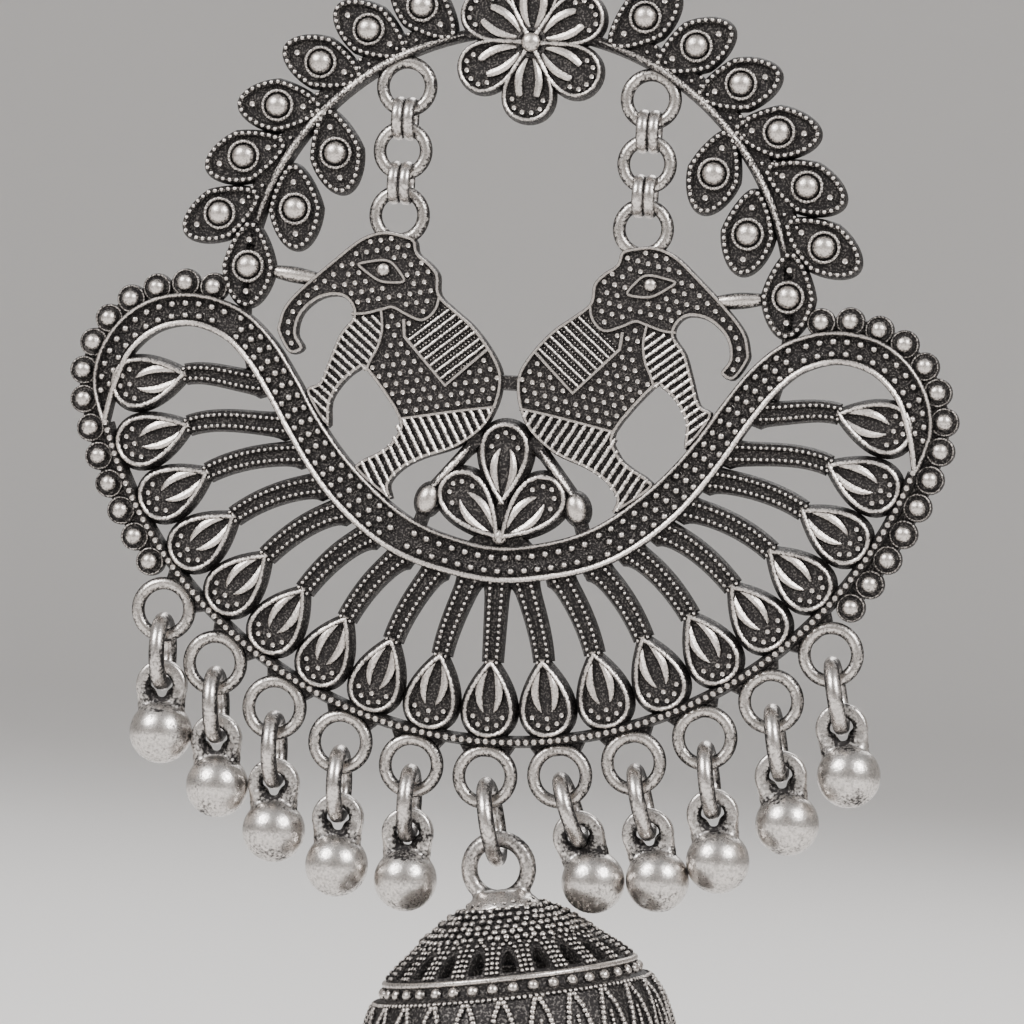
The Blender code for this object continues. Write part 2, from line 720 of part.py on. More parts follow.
def fused(name, pieces, parts, metal):
    """One object from the union of every piece in a collection, which it empties."""
    first = pieces.objects[0]
    link(first, parts)
    union = first.modifiers.new("union", "BOOLEAN")
    union.operation = "UNION"
    union.operand_type = "COLLECTION"
    union.collection = pieces
    union.solver = "EXACT"
    bpy.context.view_layer.update()
    solid = as_mesh(first)
    bm = bmesh.new()
    bm.from_mesh(solid.data)
    bmesh.ops.transform(bm, matrix=solid.matrix_world, verts=bm.verts)
    bmesh.ops.dissolve_limit(bm, angle_limit=math.radians(0.5), verts=bm.verts, edges=bm.edges)
    bm.to_mesh(solid.data)
    bm.free()
    solid.matrix_world = Matrix.Identity(4)
    solid.name = name
    for obj in list(pieces.objects):
        bpy.data.objects.remove(obj)
    finish(solid, metal)
    return solid


def finish(obj, metal):
    """Give a piece its metal and smooth round sides."""
    obj.data.materials.clear()
    obj.data.materials.append(metal)
    obj.data.shade_smooth()
    obj.data.set_sharp_from_angle(angle=math.radians(40))
    return obj


def hang_frame(place, lean):
    """A frame at a hanging point: its -Z axis points the way the piece hangs."""
    return Matrix.Translation((place.x, MIDDLE, place.y)) @ Matrix.Rotation(-lean, 4, "Y")


def drop_mesh(pieces, parts, metal):
    """The mesh of a drop about its bail's hole: a round bead under a bail."""
    bail = bpy.data.objects.new("bail", ring_mesh("bail", BAIL_HOLE, BAIL_WIRE))
    bail.matrix_world = Matrix.Rotation(math.pi / 2, 4, "X")
    pieces.objects.link(bail)
    bpy.ops.mesh.primitive_uv_sphere_add(segments=BEAD_SIDES, ring_count=5, radius=DROP_BEAD)
    bead = link(bpy.context.object, pieces)
    bead.matrix_world = Matrix.Translation((0.0, 0.0, -BAIL_TO_BEAD))
    solid = fused("drop", pieces, parts, metal)
    mesh = solid.data
    bpy.data.objects.remove(solid)
    return mesh


def place_node(name, mesh, matrix, parts, metal):
    """A named piece of the earring from a mesh and its place."""
    obj = bpy.data.objects.new(name, mesh)
    parts.objects.link(obj)
    obj.matrix_world = matrix
    finish(obj, metal)
    return obj


def drop_lean(n):
    """How far what hangs in a loop leans, in radians, with the loops counted from the left."""
    (lean,) = between([(lean,) for lean in DROP_LEANS], n / (LOOPS - 1))
    return math.radians(lean)


def build_drops(pieces, parts, metal):
    """A jump ring and a drop in each loop but the middle one."""
    ring = ring_mesh("jump_ring", RING_HOLE, RING_WIRE)
    drop = drop_mesh(pieces, parts, metal)
    for n in range(LOOPS):
        if n == LOOPS // 2:
            continue
        (play,) = between([(share,) for share in DROP_PLAY], n / (LOOPS - 1))
        ring_down = LOOP_HOLE + RING_HOLE - play * CLEARANCE
        hang = hang_frame(loop_place(n), drop_lean(n))
        turn = Matrix.Rotation(math.pi / 2, 4, "Y")
        place = hang @ Matrix.Translation((0.0, 0.0, -ring_down)) @ turn
        place_node(f"jump_ring_{n + 1}", ring, place, parts, metal)
        bail_down = ring_down + RING_HOLE + BAIL_HOLE - play * CLEARANCE
        place = hang @ Matrix.Translation((0.0, 0.0, -bail_down))
        place_node(f"drop_{n + 1}", drop, place, parts, metal)


def build_chains(parts, metal):
    """Between the cast end rings: two links, a ring, and two links, on each side."""
    across, top, pitch, _, middle, outer = chain_sizes()
    link_ring = ring_mesh("chain_link", outer - 2 * CHAIN_LINK_WIRE, CHAIN_LINK_WIRE)
    middle_ring = ring_mesh("chain_ring", middle - 2 * CHAIN_RING_WIRE, CHAIN_RING_WIRE)
    apart = CHAIN_LINK_WIRE + CHAIN_LINK_SPACE / 2
    facing = Matrix.Rotation(math.pi / 2, 4, "X")
    edgewise = Matrix.Rotation(math.pi / 2, 4, "Y")
    for hand, side in ((-1, "left"), (1, "right")):
        number = 0
        for step in (1, 3):
            for shift in (-apart, apart):
                number += 1
                place = Matrix.Translation((hand * across + shift, MIDDLE, top - step * pitch))
                name = f"chain_link_{side}_{number}"
                place_node(name, link_ring, place @ edgewise, parts, metal)
        place = Matrix.Translation((hand * across, MIDDLE, top - 2 * pitch))
        place_node(f"chain_ring_{side}", middle_ring, place @ facing, parts, metal)


def bell_wall():
    """The closed half section of the bell: down its outer wall and back up inside."""
    outer = [Vector((0.0, 0.0))]
    outer += [Vector((r * BELL_RADIUS, -d * BELL_HEIGHT)) for r, d in rows(BELL_PROFILE)]
    sides = normals(outer)
    inner = [p - n * BELL_WALL for p, n in zip(outer, sides)]
    inner[0] = Vector((0.0, -BELL_WALL))
    inner[-1].y = outer[-1].y
    inner = [p for i, p in enumerate(inner) if i % 2 == 0 or i == len(inner) - 1]
    return outer, inner


def turned_bell(outer, inner, collection):
    """The bell's hollow wall, turned about its axis."""
    section = outer + inner[::-1]
    mesh = bpy.data.meshes.new("bell_section")
    bm = bmesh.new()
    verts = [bm.verts.new((p.x, 0.0, p.y)) for p in section]
    for a, b in zip(verts, verts[1:]):
        bm.edges.new((a, b))
    bm.to_mesh(mesh)
    bm.free()
    bell = bpy.data.objects.new("bell", mesh)
    collection.objects.link(bell)
    screw = bell.modifiers.new("turn", "SCREW")
    screw.axis = "Z"
    screw.steps = BELL_HOLES
    screw.render_steps = BELL_HOLES
    screw.use_merge_vertices = True
    screw.merge_threshold = WELD
    bpy.context.view_layer.update()
    return as_mesh(bell)


def pierced(bell, outer):
    """The bell with its ring of three-cornered holes cut through the wall."""
    place, normal = bell_hole_place(outer)
    cutters = bpy.data.collections.new("cutters")
    bpy.context.scene.collection.children.link(cutters)
    outward = Vector((normal.x, 0.0, normal.y))
    along = Vector((normal.y, 0.0, -normal.x))
    frame = Matrix((outward.cross(along), along, outward)).transposed().to_4x4()
    corner = BELL_HOLE_WIDTH / math.sqrt(3)
    stretch = Matrix.Diagonal((1.0, BELL_HOLE_LENGTH / (1.5 * corner), 1.0, 1.0))
    at = Matrix.Translation((place.x * math.cos(math.pi / BELL_HOLES), 0.0, place.y))
    for k in range(BELL_HOLES):
        bpy.ops.mesh.primitive_cone_add(
            vertices=3, radius1=corner, radius2=corner, depth=BELL_WALL * 4
        )
        cutter = link(bpy.context.object, cutters)
        spin = Matrix.Rotation(math.tau * (k + 0.5) / BELL_HOLES, 4, "Z")
        cutter.matrix_world = spin @ at @ frame @ stretch
        cutter.hide_render = True
        cutter.display_type = "WIRE"
    cut = bell.modifiers.new("pierced", "BOOLEAN")
    cut.operation = "DIFFERENCE"
    cut.operand_type = "COLLECTION"
    cut.collection = cutters
    bpy.context.view_layer.update()
    bell = as_mesh(bell)
    for cutter in list(cutters.objects):
        bpy.data.objects.remove(cutter)
    return bell


def build_bell(pieces, parts, metal):
    """The bell, fused with its loop, and the jump ring that carries it from the middle loop."""
    outer, inner = bell_wall()
    pierced(turned_bell(outer, inner, pieces), outer)
    loop_up = Matrix.Translation((0.0, 0.0, BELL_LOOP_TO_CAP))
    loop = bpy.data.objects.new("bell_loop", ring_mesh("bell_loop", BELL_LOOP_HOLE, BELL_LOOP_WIRE))
    loop.matrix_world = loop_up @ Matrix.Rotation(math.pi / 2, 4, "X")
    pieces.objects.link(loop)
    solid = fused("jhumki", pieces, parts, metal)
    ring_place = hang_frame(loop_place(LOOPS // 2), drop_lean(LOOPS // 2))
    ring_down = LOOP_HOLE + BELL_RING_HOLE - CLEARANCE
    ring = ring_mesh("jhumki_ring", BELL_RING_HOLE, RING_WIRE, BELL_RING_SIDES)
    spot = ring_place @ Matrix.Translation((0.0, 0.0, -ring_down))
    place_node("jhumki_ring", ring, spot @ Matrix.Rotation(math.pi / 2, 4, "Y"), parts, metal)
    hinge = spot @ Vector((0.0, 0.0, -BELL_RING_HOLE - RING_WIRE))
    loop_down = BELL_LOOP_HOLE - CLEARANCE - RING_WIRE
    solid.data.transform(Matrix.Translation((0.0, 0.0, -BELL_LOOP_TO_CAP - loop_down)))
    solid.matrix_world = Matrix.Translation(hinge) @ Matrix.Rotation(-BELL_LEAN, 4, "Y")


def bell_hole_place(outer):
    """Where the ring of holes crosses the outer wall, and the wall's outward normal there."""
    sides = normals(outer)
    depth = -BELL_HOLE_PLACE * BELL_HEIGHT
    for i in range(len(outer) - 1):
        a, b = outer[i], outer[i + 1]
        if b.y <= depth <= a.y:
            share = (depth - a.y) / (b.y - a.y)
            return a.lerp(b, share), sides[i].lerp(sides[i + 1], share).normalized()
    return outer[-1], sides[-1]


def silver():
    """Oxidised silver, as one plain metal."""
    metal = bpy.data.materials.new("oxidised_silver")
    metal.use_nodes = True
    shader = metal.node_tree.nodes["Principled BSDF"]
    shader.inputs["Base Color"].default_value = (0.42, 0.39, 0.36, 1.0)
    shader.inputs["Metallic"].default_value = 1.0
    shader.inputs["Roughness"].default_value = 0.4
    return metal


def main():
    """Clear the scene and build the earring."""
    for obj in list(bpy.data.objects):
        bpy.data.objects.remove(obj)
    parts = bpy.data.collections.new("chandbali_earring")
    pieces = bpy.data.collections.new("pieces")
    for collection in (parts, pieces):
        bpy.context.scene.collection.children.link(collection)
    metal = silver()
    build_casting(pieces, parts, metal)
    build_drops(pieces, parts, metal)
    build_chains(parts, metal)
    build_bell(pieces, parts, metal)


main()
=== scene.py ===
"""Looks of the chandbali earring in oxidised silver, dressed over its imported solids.

The relief is drawn in millimetres in the plate's own frame: X across, Y up and Z out of the front.
Relief.piece turns it to the row's frame, in metres, where the front of the plate faces -Y.
"""

from __future__ import annotations

import logging
import math
import random
from collections.abc import Callable, Sequence
from dataclasses import dataclass, field
from enum import Enum

import bmesh
import bpy
import numpy as np
from mathutils import Matrix, Vector


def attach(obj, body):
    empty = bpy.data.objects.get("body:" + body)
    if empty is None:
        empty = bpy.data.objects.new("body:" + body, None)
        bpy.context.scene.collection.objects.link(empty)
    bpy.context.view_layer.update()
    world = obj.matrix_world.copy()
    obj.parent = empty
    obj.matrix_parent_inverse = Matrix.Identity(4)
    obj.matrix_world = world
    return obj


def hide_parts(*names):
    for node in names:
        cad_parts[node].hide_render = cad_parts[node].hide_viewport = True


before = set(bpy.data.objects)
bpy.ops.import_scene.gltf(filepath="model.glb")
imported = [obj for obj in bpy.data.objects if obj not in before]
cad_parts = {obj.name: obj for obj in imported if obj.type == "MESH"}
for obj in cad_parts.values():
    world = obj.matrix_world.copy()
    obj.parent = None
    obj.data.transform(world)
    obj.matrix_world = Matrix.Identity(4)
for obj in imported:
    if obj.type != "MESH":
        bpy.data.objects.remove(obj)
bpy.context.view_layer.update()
LOG = logging.getLogger("chandbali")

Line = list[Vector]
Wear = Callable[[Vector, Vector], float]

MILLIMETRE = 0.001
TO_ROW = Matrix.Rotation(math.pi / 2, 4, "X") @ Matrix.Scale(MILLIMETRE, 4)
HERE = Matrix.Identity(4)
MIRROR = Matrix.Diagonal((-1.0, 1.0, 1.0, 1.0))
UP = Vector((0.0, 1.0))
EDGEWISE = Matrix.Rotation(math.pi / 2, 4, "Y")
UPRIGHT = (0, 0, 1)
HANGING = (0, 1, 0)


@dataclass(frozen=True)
class Levels:
    """Heights of the cast plate above the ear lobe, in millimetres."""

    back: float = 0.5
    floor: float = 1.45
    face: float = 1.7
    middle: float = 1.1
    layer: float = 0.03

    def under(self, layer: int) -> float:
        """The back of a layer that overlaps others, a little in front of the plate's own."""
        return self.back + layer * self.layer


@dataclass(frozen=True)
class Crescent:
    """The circle that the crescent's rows follow, in millimetres from the flower's centre."""

    radius: float = 29.7
    centre: float = -18.6

    def point(self, across: float, down: float) -> Vector:
        """A point of the plate, in shares of the radius from the crescent's centre."""
        return Vector((across * self.radius, self.centre - down * self.radius))

    def polar(self, radius: float, swing: float) -> Vector:
        """A point at a swing from straight down, in radians, positive to the right."""
        return Vector((math.sin(swing) * radius, self.centre - math.cos(swing) * radius))


LEVELS = Levels()
MOON = Crescent()


def smooth(points: Line, steps: int, closed: bool = False) -> Line:
    """A smooth curve through points.

    Args:
        points: the points that the curve passes.
        steps: stretches between two points.
        closed: whether the curve returns to its start.

    Returns:
        The curve's points.
    """
    count = len(points)
    if closed:
        ends = [points[-1], *points, points[0], points[1]]
    else:
        ends = [2 * points[0] - points[1], *points, 2 * points[-1] - points[-2]]
    line = []
    for i in range(count if closed else count - 1):
        a, b, c, d = ends[i:i + 4]
        for step in range(steps):
            t = step / steps
            curve = 2 * b + (c - a) * t
            curve += (2 * a - 5 * b + 4 * c - d) * t ** 2
            curve += (3 * b - a - 3 * c + d) * t ** 3
            line.append(curve / 2)
    return line if closed else [*line, points[-1].copy()]


def sides_of(line: Line, closed: bool = False) -> Line:
    """The unit normal at each point of a line, on its left."""
    result = []
    last = len(line) - 1
    for i in range(len(line)):
        before = line[i - 1] if closed or i else line[0]
        after = line[(i + 1) % len(line)] if closed or i < last else line[last]
        along = after - before
        result.append(Vector((-along.y, along.x)).normalized())
    return result


def beside(line: Line, distance: float, closed: bool = False) -> Line:
    """A line moved to its left by a distance."""
    return [p + n * distance for p, n in zip(line, sides_of(line, closed))]


def strip(line: Line, left: float, right: float) -> Line:
    """The outline of a strip along a line, as wide as given on its left and on its right."""
    return beside(line, left) + beside(line, -right)[::-1]


def ribbon(line: Line, halves: Sequence[float]) -> Line:
    """The outline of a strip along a line, with half its width at each point."""
    sides = sides_of(line)
    left = [p + n * half for p, n, half in zip(line, sides, halves)]
    return left + [p - n * half for p, n, half in zip(line, sides, halves)][::-1]


def oval(wide: float, tall: float, count: int) -> Line:
    """Points round an oval about the origin, from its half width and half height."""
    turns = np.linspace(0.0, math.tau, count, endpoint=False)
    return [Vector((math.cos(turn) * wide, math.sin(turn) * tall)) for turn in turns]


def mirrored(points: Line) -> Line:
    """An open outline's right half, closed by the same points on the left."""
    return points + [Vector((-p.x, p.y)) for p in points[::-1]]


def inset(outline: Line, distance: float) -> Line:
    """A closed outline moved inwards by a distance."""
    area = sum(a.cross(b) for a, b in zip(outline, outline[1:] + outline[:1]))
    return beside(outline, distance if area > 0 else -distance, True)


def strung(line: Line, pitch: float, closed: bool = False) -> Line:
    """Points at an even pitch along a line.

    Args:
        line: the line to follow.
        pitch: the wanted distance between two points, which is fitted to the length.
        closed: whether the line returns to its start.

    Returns:
        The points, with both ends of an open line.
    """
    path = [*line, line[0]] if closed else line
    lengths = np.cumsum([0.0] + [(b - a).length for a, b in zip(path, path[1:])])
    count = max(round(lengths[-1] / pitch), 1)
    wanted = np.linspace(0.0, lengths[-1], count + 1)
    across = np.interp(wanted, lengths, [p.x for p in path])
    up = np.interp(wanted, lengths, [p.y for p in path])
    points = [Vector((float(x), float(y))) for x, y in zip(across, up)]
    return points[:-1] if closed else points


def encloses(outline: Line, point: Vector) -> bool:
    """Whether a closed outline holds a point."""
    inside = False
    for a, b in zip(outline, outline[1:] + outline[:1]):
        if (a.y > point.y) != (b.y > point.y):
            if point.x < a.x + (b.x - a.x) * (point.y - a.y) / (b.y - a.y):
                inside = not inside
    return inside


def distance_to(line: Line, point: Vector) -> float:
    """How far a point lies from a line."""
    best = math.inf
    for a, b in zip(line, line[1:]):
        along = b - a
        share = min(max((point - a).dot(along) / max(along.length_squared, 1e-12), 0.0), 1.0)
        best = min(best, (a + along * share - point).length)
    return best


def hatch(outline: Line, direction: Vector, pitch: float, margin: float) -> list[Line]:
    """Parallel strokes that fill an outline.

    Args:
        outline: the closed outline.
        direction: the way the strokes run.
        pitch: the distance between two strokes.
        margin: how far each stroke stops short of the outline.

    Returns:
        The strokes, each as its two ends.
    """
    along = direction.normalized()
    side = Vector((-along.y, along.x))
    heights = [p.dot(side) for p in outline]
    strokes = []
    level = min(heights) + pitch
    while level < max(heights) - pitch / 2:
        crossings = []
        for a, b in zip(outline, outline[1:] + outline[:1]):
            low, high = a.dot(side) - level, b.dot(side) - level
            if (low > 0) != (high > 0):
                crossings.append(a.lerp(b, low / (low - high)).dot(along))
        crossings.sort()
        for start, end in zip(crossings[::2], crossings[1::2]):
            if end - start > 3 * margin:
                foot = side * level
                strokes.append([foot + along * (start + margin), foot + along * (end - margin)])
        level += pitch
    return strokes


def at(place: Vector, turn: float = 0.0, height: float = 0.0) -> Matrix:
    """A place on the plate, turned about the way out of it."""
    return Matrix.Translation((place.x, place.y, height)) @ Matrix.Rotation(turn, 4, "Z")


def crest(low: float = 0.05, high: float = 1.0) -> Wear:
    """Wear that grows from a shape's sides to its crest, which faces the viewer."""
    return lambda _, normal: low + (high - low) * max(normal.z, 0.0) ** 1.5


def sideways(high: float) -> Wear:
    """Wear of a ring that stands edgewise: bright round its outside, dark on its two faces."""
    return lambda _, normal: high * (1.0 - 0.95 * normal.z ** 2)


def even(value: float) -> Wear:
    """The same wear all over a shape."""
    return lambda _point, _normal: value


@dataclass
class Shape:
    """A bare shape as arrays.

    Attributes:
        points: its points, in millimetres.
        wear_and_shade: how bright each point is worn, from 0 in a recess to 1 on a crest; on the drops
            it also holds painted shade, darker towards the bottom of the bead.
        corners: the faces' points, face after face.
        sizes: the number of points of each face.
    """

    points: np.ndarray
    wear_and_shade: np.ndarray
    corners: np.ndarray
    sizes: np.ndarray

    @classmethod
    def of(cls, bm: bmesh.types.BMesh, wear_and_shade: Wear) -> Shape:
        """The shape in a bmesh, which is freed."""
        bm.normal_update()
        bm.verts.index_update()
        points = np.array([v.co[:] for v in bm.verts])
        worn = np.array([wear_and_shade(v.co, v.normal) for v in bm.verts])
        corners = np.array([v.index for f in bm.faces for v in f.verts])
        sizes = np.array([len(f.verts) for f in bm.faces])
        bm.free()
        return cls(points, worn, corners, sizes)

    def moved(self, place: Matrix) -> Shape:
        """The shape at a place, with its faces kept outwards in a mirror."""
        turn = np.array(place)
        points = self.points @ turn[:3, :3].T + turn[:3, 3]
        corners = self.corners
        if np.linalg.det(turn[:3, :3]) < 0:
            ends = np.cumsum(self.sizes)
            corners = np.concatenate(
                [corners[end - size:end][::-1] for end, size in zip(ends, self.sizes)]
            )
        return Shape(points, self.wear_and_shade, corners, self.sizes)

    def fill(self, mesh: bpy.types.Mesh) -> None:
        """Put the shape in an empty mesh, with its brightness: rubbed metal over oxide, and on the
        drops also painted shade.
        """
        mesh.vertices.add(len(self.points))
        mesh.vertices.foreach_set("co", self.points.astype(np.float32).ravel())
        mesh.loops.add(len(self.corners))
        mesh.loops.foreach_set("vertex_index", self.corners.astype(np.int32))
        mesh.polygons.add(len(self.sizes))
        starts = np.cumsum(np.concatenate([[0], self.sizes[:-1]]))
        mesh.polygons.foreach_set("loop_start", starts.astype(np.int32))
        mesh.update(calc_edges=True)
        worn = mesh.attributes.new("wear_and_shade", "FLOAT", "POINT")
        worn.data.foreach_set("value", self.wear_and_shade.astype(np.float32))

    @classmethod
    def joined(cls, shapes: Sequence[Shape]) -> Shape:
        """Several shapes as one."""
        starts = np.cumsum([0] + [len(s.points) for s in shapes[:-1]])
        return cls(
            np.concatenate([s.points for s in shapes]),
            np.concatenate([s.wear_and_shade for s in shapes]),
            np.concatenate([s.corners + start for s, start in zip(shapes, starts)]),
            np.concatenate([s.sizes for s in shapes]),
        )


def slab(outline: Line, low: float, high: float, skirt: float = 0.0, worn: float = 1.0) -> Shape:
    """A flat piece with upright walls below and a sloping skirt round its top.

    Args:
        outline: its closed outline at the foot.
        low: the height of its back.
        high: the height of its face.
        skirt: how far the walls lean in on the way up.
        worn: how bright the face is worn.

    Returns:
        The closed shape.
    """
    bm = bmesh.new()
    face = bm.faces.new([bm.verts.new((p.x, p.y, low)) for p in outline])
    grown = bmesh.ops.extrude_face_region(bm, geom=[face])["geom"]
    lifted = [v for v in grown if isinstance(v, bmesh.types.BMVert)]
    rise = (high - low) * (0.5 if skirt else 1.0)
    bmesh.ops.translate(bm, verts=lifted, vec=(0.0, 0.0, rise))
    bmesh.ops.holes_fill(bm, edges=[e for e in bm.edges if e.is_boundary])
    bmesh.ops.recalc_face_normals(bm, faces=bm.faces)
    if skirt:
        cap = [f for f in bm.faces if f.calc_center_median().z > low + rise * 0.9]
        bmesh.ops.inset_region(
            bm, faces=cap, thickness=skirt, depth=high - low - rise, use_even_offset=True
        )
    edge = high - 1e-4
    return Shape.of(bm, lambda p, n: worn if p.z > edge and n.z > 0.1 else 0.06)


def section(bm: bmesh.types.BMesh, points: Sequence[tuple[float, float, float]]) -> list:
    """Join points by edges; the result is what bmesh's spin takes."""
    verts = [bm.verts.new(point) for point in points]
    return verts + [bm.edges.new(pair) for pair in zip(verts, verts[1:])]


def spin(bm: bmesh.types.BMesh, geom: list, axis: tuple[int, int, int], steps: int) -> None:
    """Turn a section all the way round an axis through the origin."""
    bmesh.ops.spin(
        bm, geom=geom, axis=axis, cent=(0.0, 0.0, 0.0), angle=math.tau, steps=steps, use_merge=True
    )


def dome(radius: float, height: float, sides: int = 8, rows: int = 5, wear_and_shade: Wear = crest()) -> Shape:
    """A bead, squeezed to a height, about its own centre."""
    bm = bmesh.new()
    bmesh.ops.create_uvsphere(bm, u_segments=sides, v_segments=rows, radius=radius)
    bmesh.ops.scale(bm, vec=(1.0, 1.0, height / radius), verts=bm.verts)
    return Shape.of(bm, wear_and_shade)


def pip(radius: float, height: float) -> Shape:
    """A small cast dot: a low bead with a dimple in its crown."""
    bm = bmesh.new()
    profile = [(1.0, -0.4), (0.97, 0.5), (0.74, 0.96), (0.3, 0.84)]
    spin(bm, section(bm, [(x * radius, 0.0, z * height) for x, z in profile]), UPRIGHT, 9)
    bmesh.ops.holes_fill(bm, edges=[e for e in bm.edges if e.is_boundary])
    bmesh.ops.recalc_face_normals(bm, faces=bm.faces)
    foot, crown = 0.3 * height, 0.9 * height
    return Shape.of(bm, lambda p, _: 0.05 if p.z < foot else (1.0 if p.z > crown else 0.8))


def ring(
    radius: float, wire: float, sides: int = 40, wear_and_shade: Wear = crest(0.25), wires: int = 12,
    tall: float = 1.0,
) -> Shape:
    """A round ring of wire about the way out of the plate.

    Args:
        radius: the radius of its wire's middle line.
        wire: half the wire's width.
        sides: the steps round the ring.
        wear_and_shade: how bright it is worn.
        wires: the sides of its wire.
        tall: how high the wire stands for its width.

    Returns:
        The ring about its own centre.
    """
    bm = bmesh.new()
    place = Matrix.Translation((radius, 0.0, 0.0)) @ Matrix.Rotation(math.pi / 2, 4, "X")
    place = place @ Matrix.Diagonal((1.0, tall, 1.0, 1.0))
    bmesh.ops.create_circle(bm, segments=wires, radius=wire, matrix=place)
    spin(bm, bm.verts[:] + bm.edges[:], UPRIGHT, sides)
    bmesh.ops.recalc_face_normals(bm, faces=bm.faces)
    return Shape.of(bm, wear_and_shade)


def rods(
    paths: Sequence[Line], radius: float, height: float, closed: bool = False,
    tall: float = 1.0, wear_and_shade: Wear = crest(), detail: int = 1, taper: Sequence[float] = (),
) -> Shape:
    """Round rods that lie along paths on the plate.

    Args:
        paths: the lines that they follow.
        radius: half their width.
        height: the height of their middle line.
        closed: whether each path returns to its start.
        tall: how high they stand for their width.
        wear_and_shade: how bright they are worn.
        detail: the roundness of their section.
        taper: the share of the radius at each point, where it isn't even.

    Returns:
        All the rods as one shape.
    """
    curve = bpy.data.curves.new("rods", "CURVE")
    curve.dimensions = "3D"
    curve.bevel_depth = radius
    curve.bevel_resolution = detail
    curve.use_fill_caps = True
    for path in paths:
        spline = curve.splines.new("POLY")
        spline.points.add(len(path) - 1)
        for point, place in zip(spline.points, path):
            point.co = (place.x, place.y, 0.0, 1.0)
        for point, share in zip(spline.points, taper):
            point.radius = share
        spline.use_cyclic_u = closed
    holder = bpy.data.objects.new("rods", curve)
    bpy.context.scene.collection.objects.link(holder)
    depsgraph = bpy.context.evaluated_depsgraph_get()
    mesh = bpy.data.meshes.new_from_object(holder.evaluated_get(depsgraph))
    bpy.data.objects.remove(holder)
    bm = bmesh.new()
    bm.from_mesh(mesh)
    bpy.data.meshes.remove(mesh)
    bmesh.ops.remove_doubles(bm, verts=bm.verts, dist=radius / 50)
    bmesh.ops.scale(bm, vec=(1.0, 1.0, tall), verts=bm.verts)
    bmesh.ops.translate(bm, vec=(0.0, 0.0, height), verts=bm.verts)
    return Shape.of(bm, wear_and_shade)


def turned(profile: Sequence[Vector], sides: int, wear_and_shade: Wear) -> Shape:
    """A shape turned about the way down the plate; a profile's points are radius and height."""
    bm = bmesh.new()
    spin(bm, section(bm, [(p.x, p.y, 0.0) for p in profile]), HANGING, sides)
    bmesh.ops.remove_doubles(bm, verts=bm.verts, dist=0.001)
    bmesh.ops.recalc_face_normals(bm, faces=bm.faces)
    return Shape.of(bm, wear_and_shade)


@dataclass
class Relief:
    """A growing piece of silver, drawn in millimetres in the plate's frame."""

    name: str
    parts: list[Shape] = field(default_factory=list)

    def add(self, shape: Shape, places: Sequence[Matrix] = (HERE,)) -> None:
        """Add copies of a shape at several places."""
        self.parts += [shape.moved(place) for place in places]

    def stud(self, bead: Shape, spots: Sequence[Vector], height: float) -> None:
        """Set copies of a bead on the plate at a height."""
        self.add(bead, [at(spot, 0.0, height) for spot in spots])

    def mirror(self) -> None:
        """Repeat all that is there on the plate's other half."""
        self.add(self.whole(), [MIRROR])

    def whole(self) -> Shape:
        """All the parts as one shape."""
        return Shape.joined(self.parts)

    def piece(self, finish: Silver, slot: str, body: str, nodes: Sequence[str]) -> bpy.types.Object:
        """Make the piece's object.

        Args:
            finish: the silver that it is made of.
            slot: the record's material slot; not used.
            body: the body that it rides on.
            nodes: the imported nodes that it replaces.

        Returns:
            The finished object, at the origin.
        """
        shape = self.whole().moved(TO_ROW)
        mesh = bpy.data.meshes.new(self.name)
        shape.fill(mesh)
        mesh.shade_smooth()
        mesh.set_sharp_from_angle(angle=math.radians(42))
        obj = bpy.data.objects.new(self.name, mesh)
        bpy.context.scene.collection.objects.link(obj)
        mesh.materials.append(finish.material())
        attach(obj, body)
        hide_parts(*nodes)
        LOG.info("%s: %d faces", self.name, len(shape.sizes))
        return obj

    def cast(self, finish: Silver) -> None:
        """Make the piece as a part of the casting."""
        self.piece(finish, Slot.CAST.value, "root", CASTING)


class Signal:
    """A shader socket that takes part in Python arithmetic."""

    def __init__(self, graph: Graph, socket: bpy.types.NodeSocket) -> None:
        """Wrap a socket of a graph."""
        self.graph = graph
        self.socket = socket

    def _with(self, operation: str, *values: Signal | float) -> Signal:
        """The result of a Math node."""
        return self.graph.node("ShaderNodeMath", {"operation": operation}, dict(enumerate(values)))

    def __add__(self, other: Signal | float) -> Signal:
        """Add."""
        return self._with("ADD", self, other)

    def __radd__(self, other: float) -> Signal:
        """Add from the right."""
        return self._with("ADD", other, self)

    def __sub__(self, other: Signal | float) -> Signal:
        """Subtract."""
        return self._with("SUBTRACT", self, other)

    def __rsub__(self, other: float) -> Signal:
        """Subtract from a number."""
        return self._with("SUBTRACT", other, self)

    def __mul__(self, other: Signal | float) -> Signal:
        """Multiply."""
        return self._with("MULTIPLY", self, other)

    def ramp(self, low: float, high: float) -> Signal:
        """A smooth rise from 0 at low to 1 at high."""
        return self.graph.node(
            "ShaderNodeMapRange",
            {"interpolation_type": "SMOOTHSTEP", "clamp": True},
            {"Value": self, "From Min": low, "From Max": high},
        )


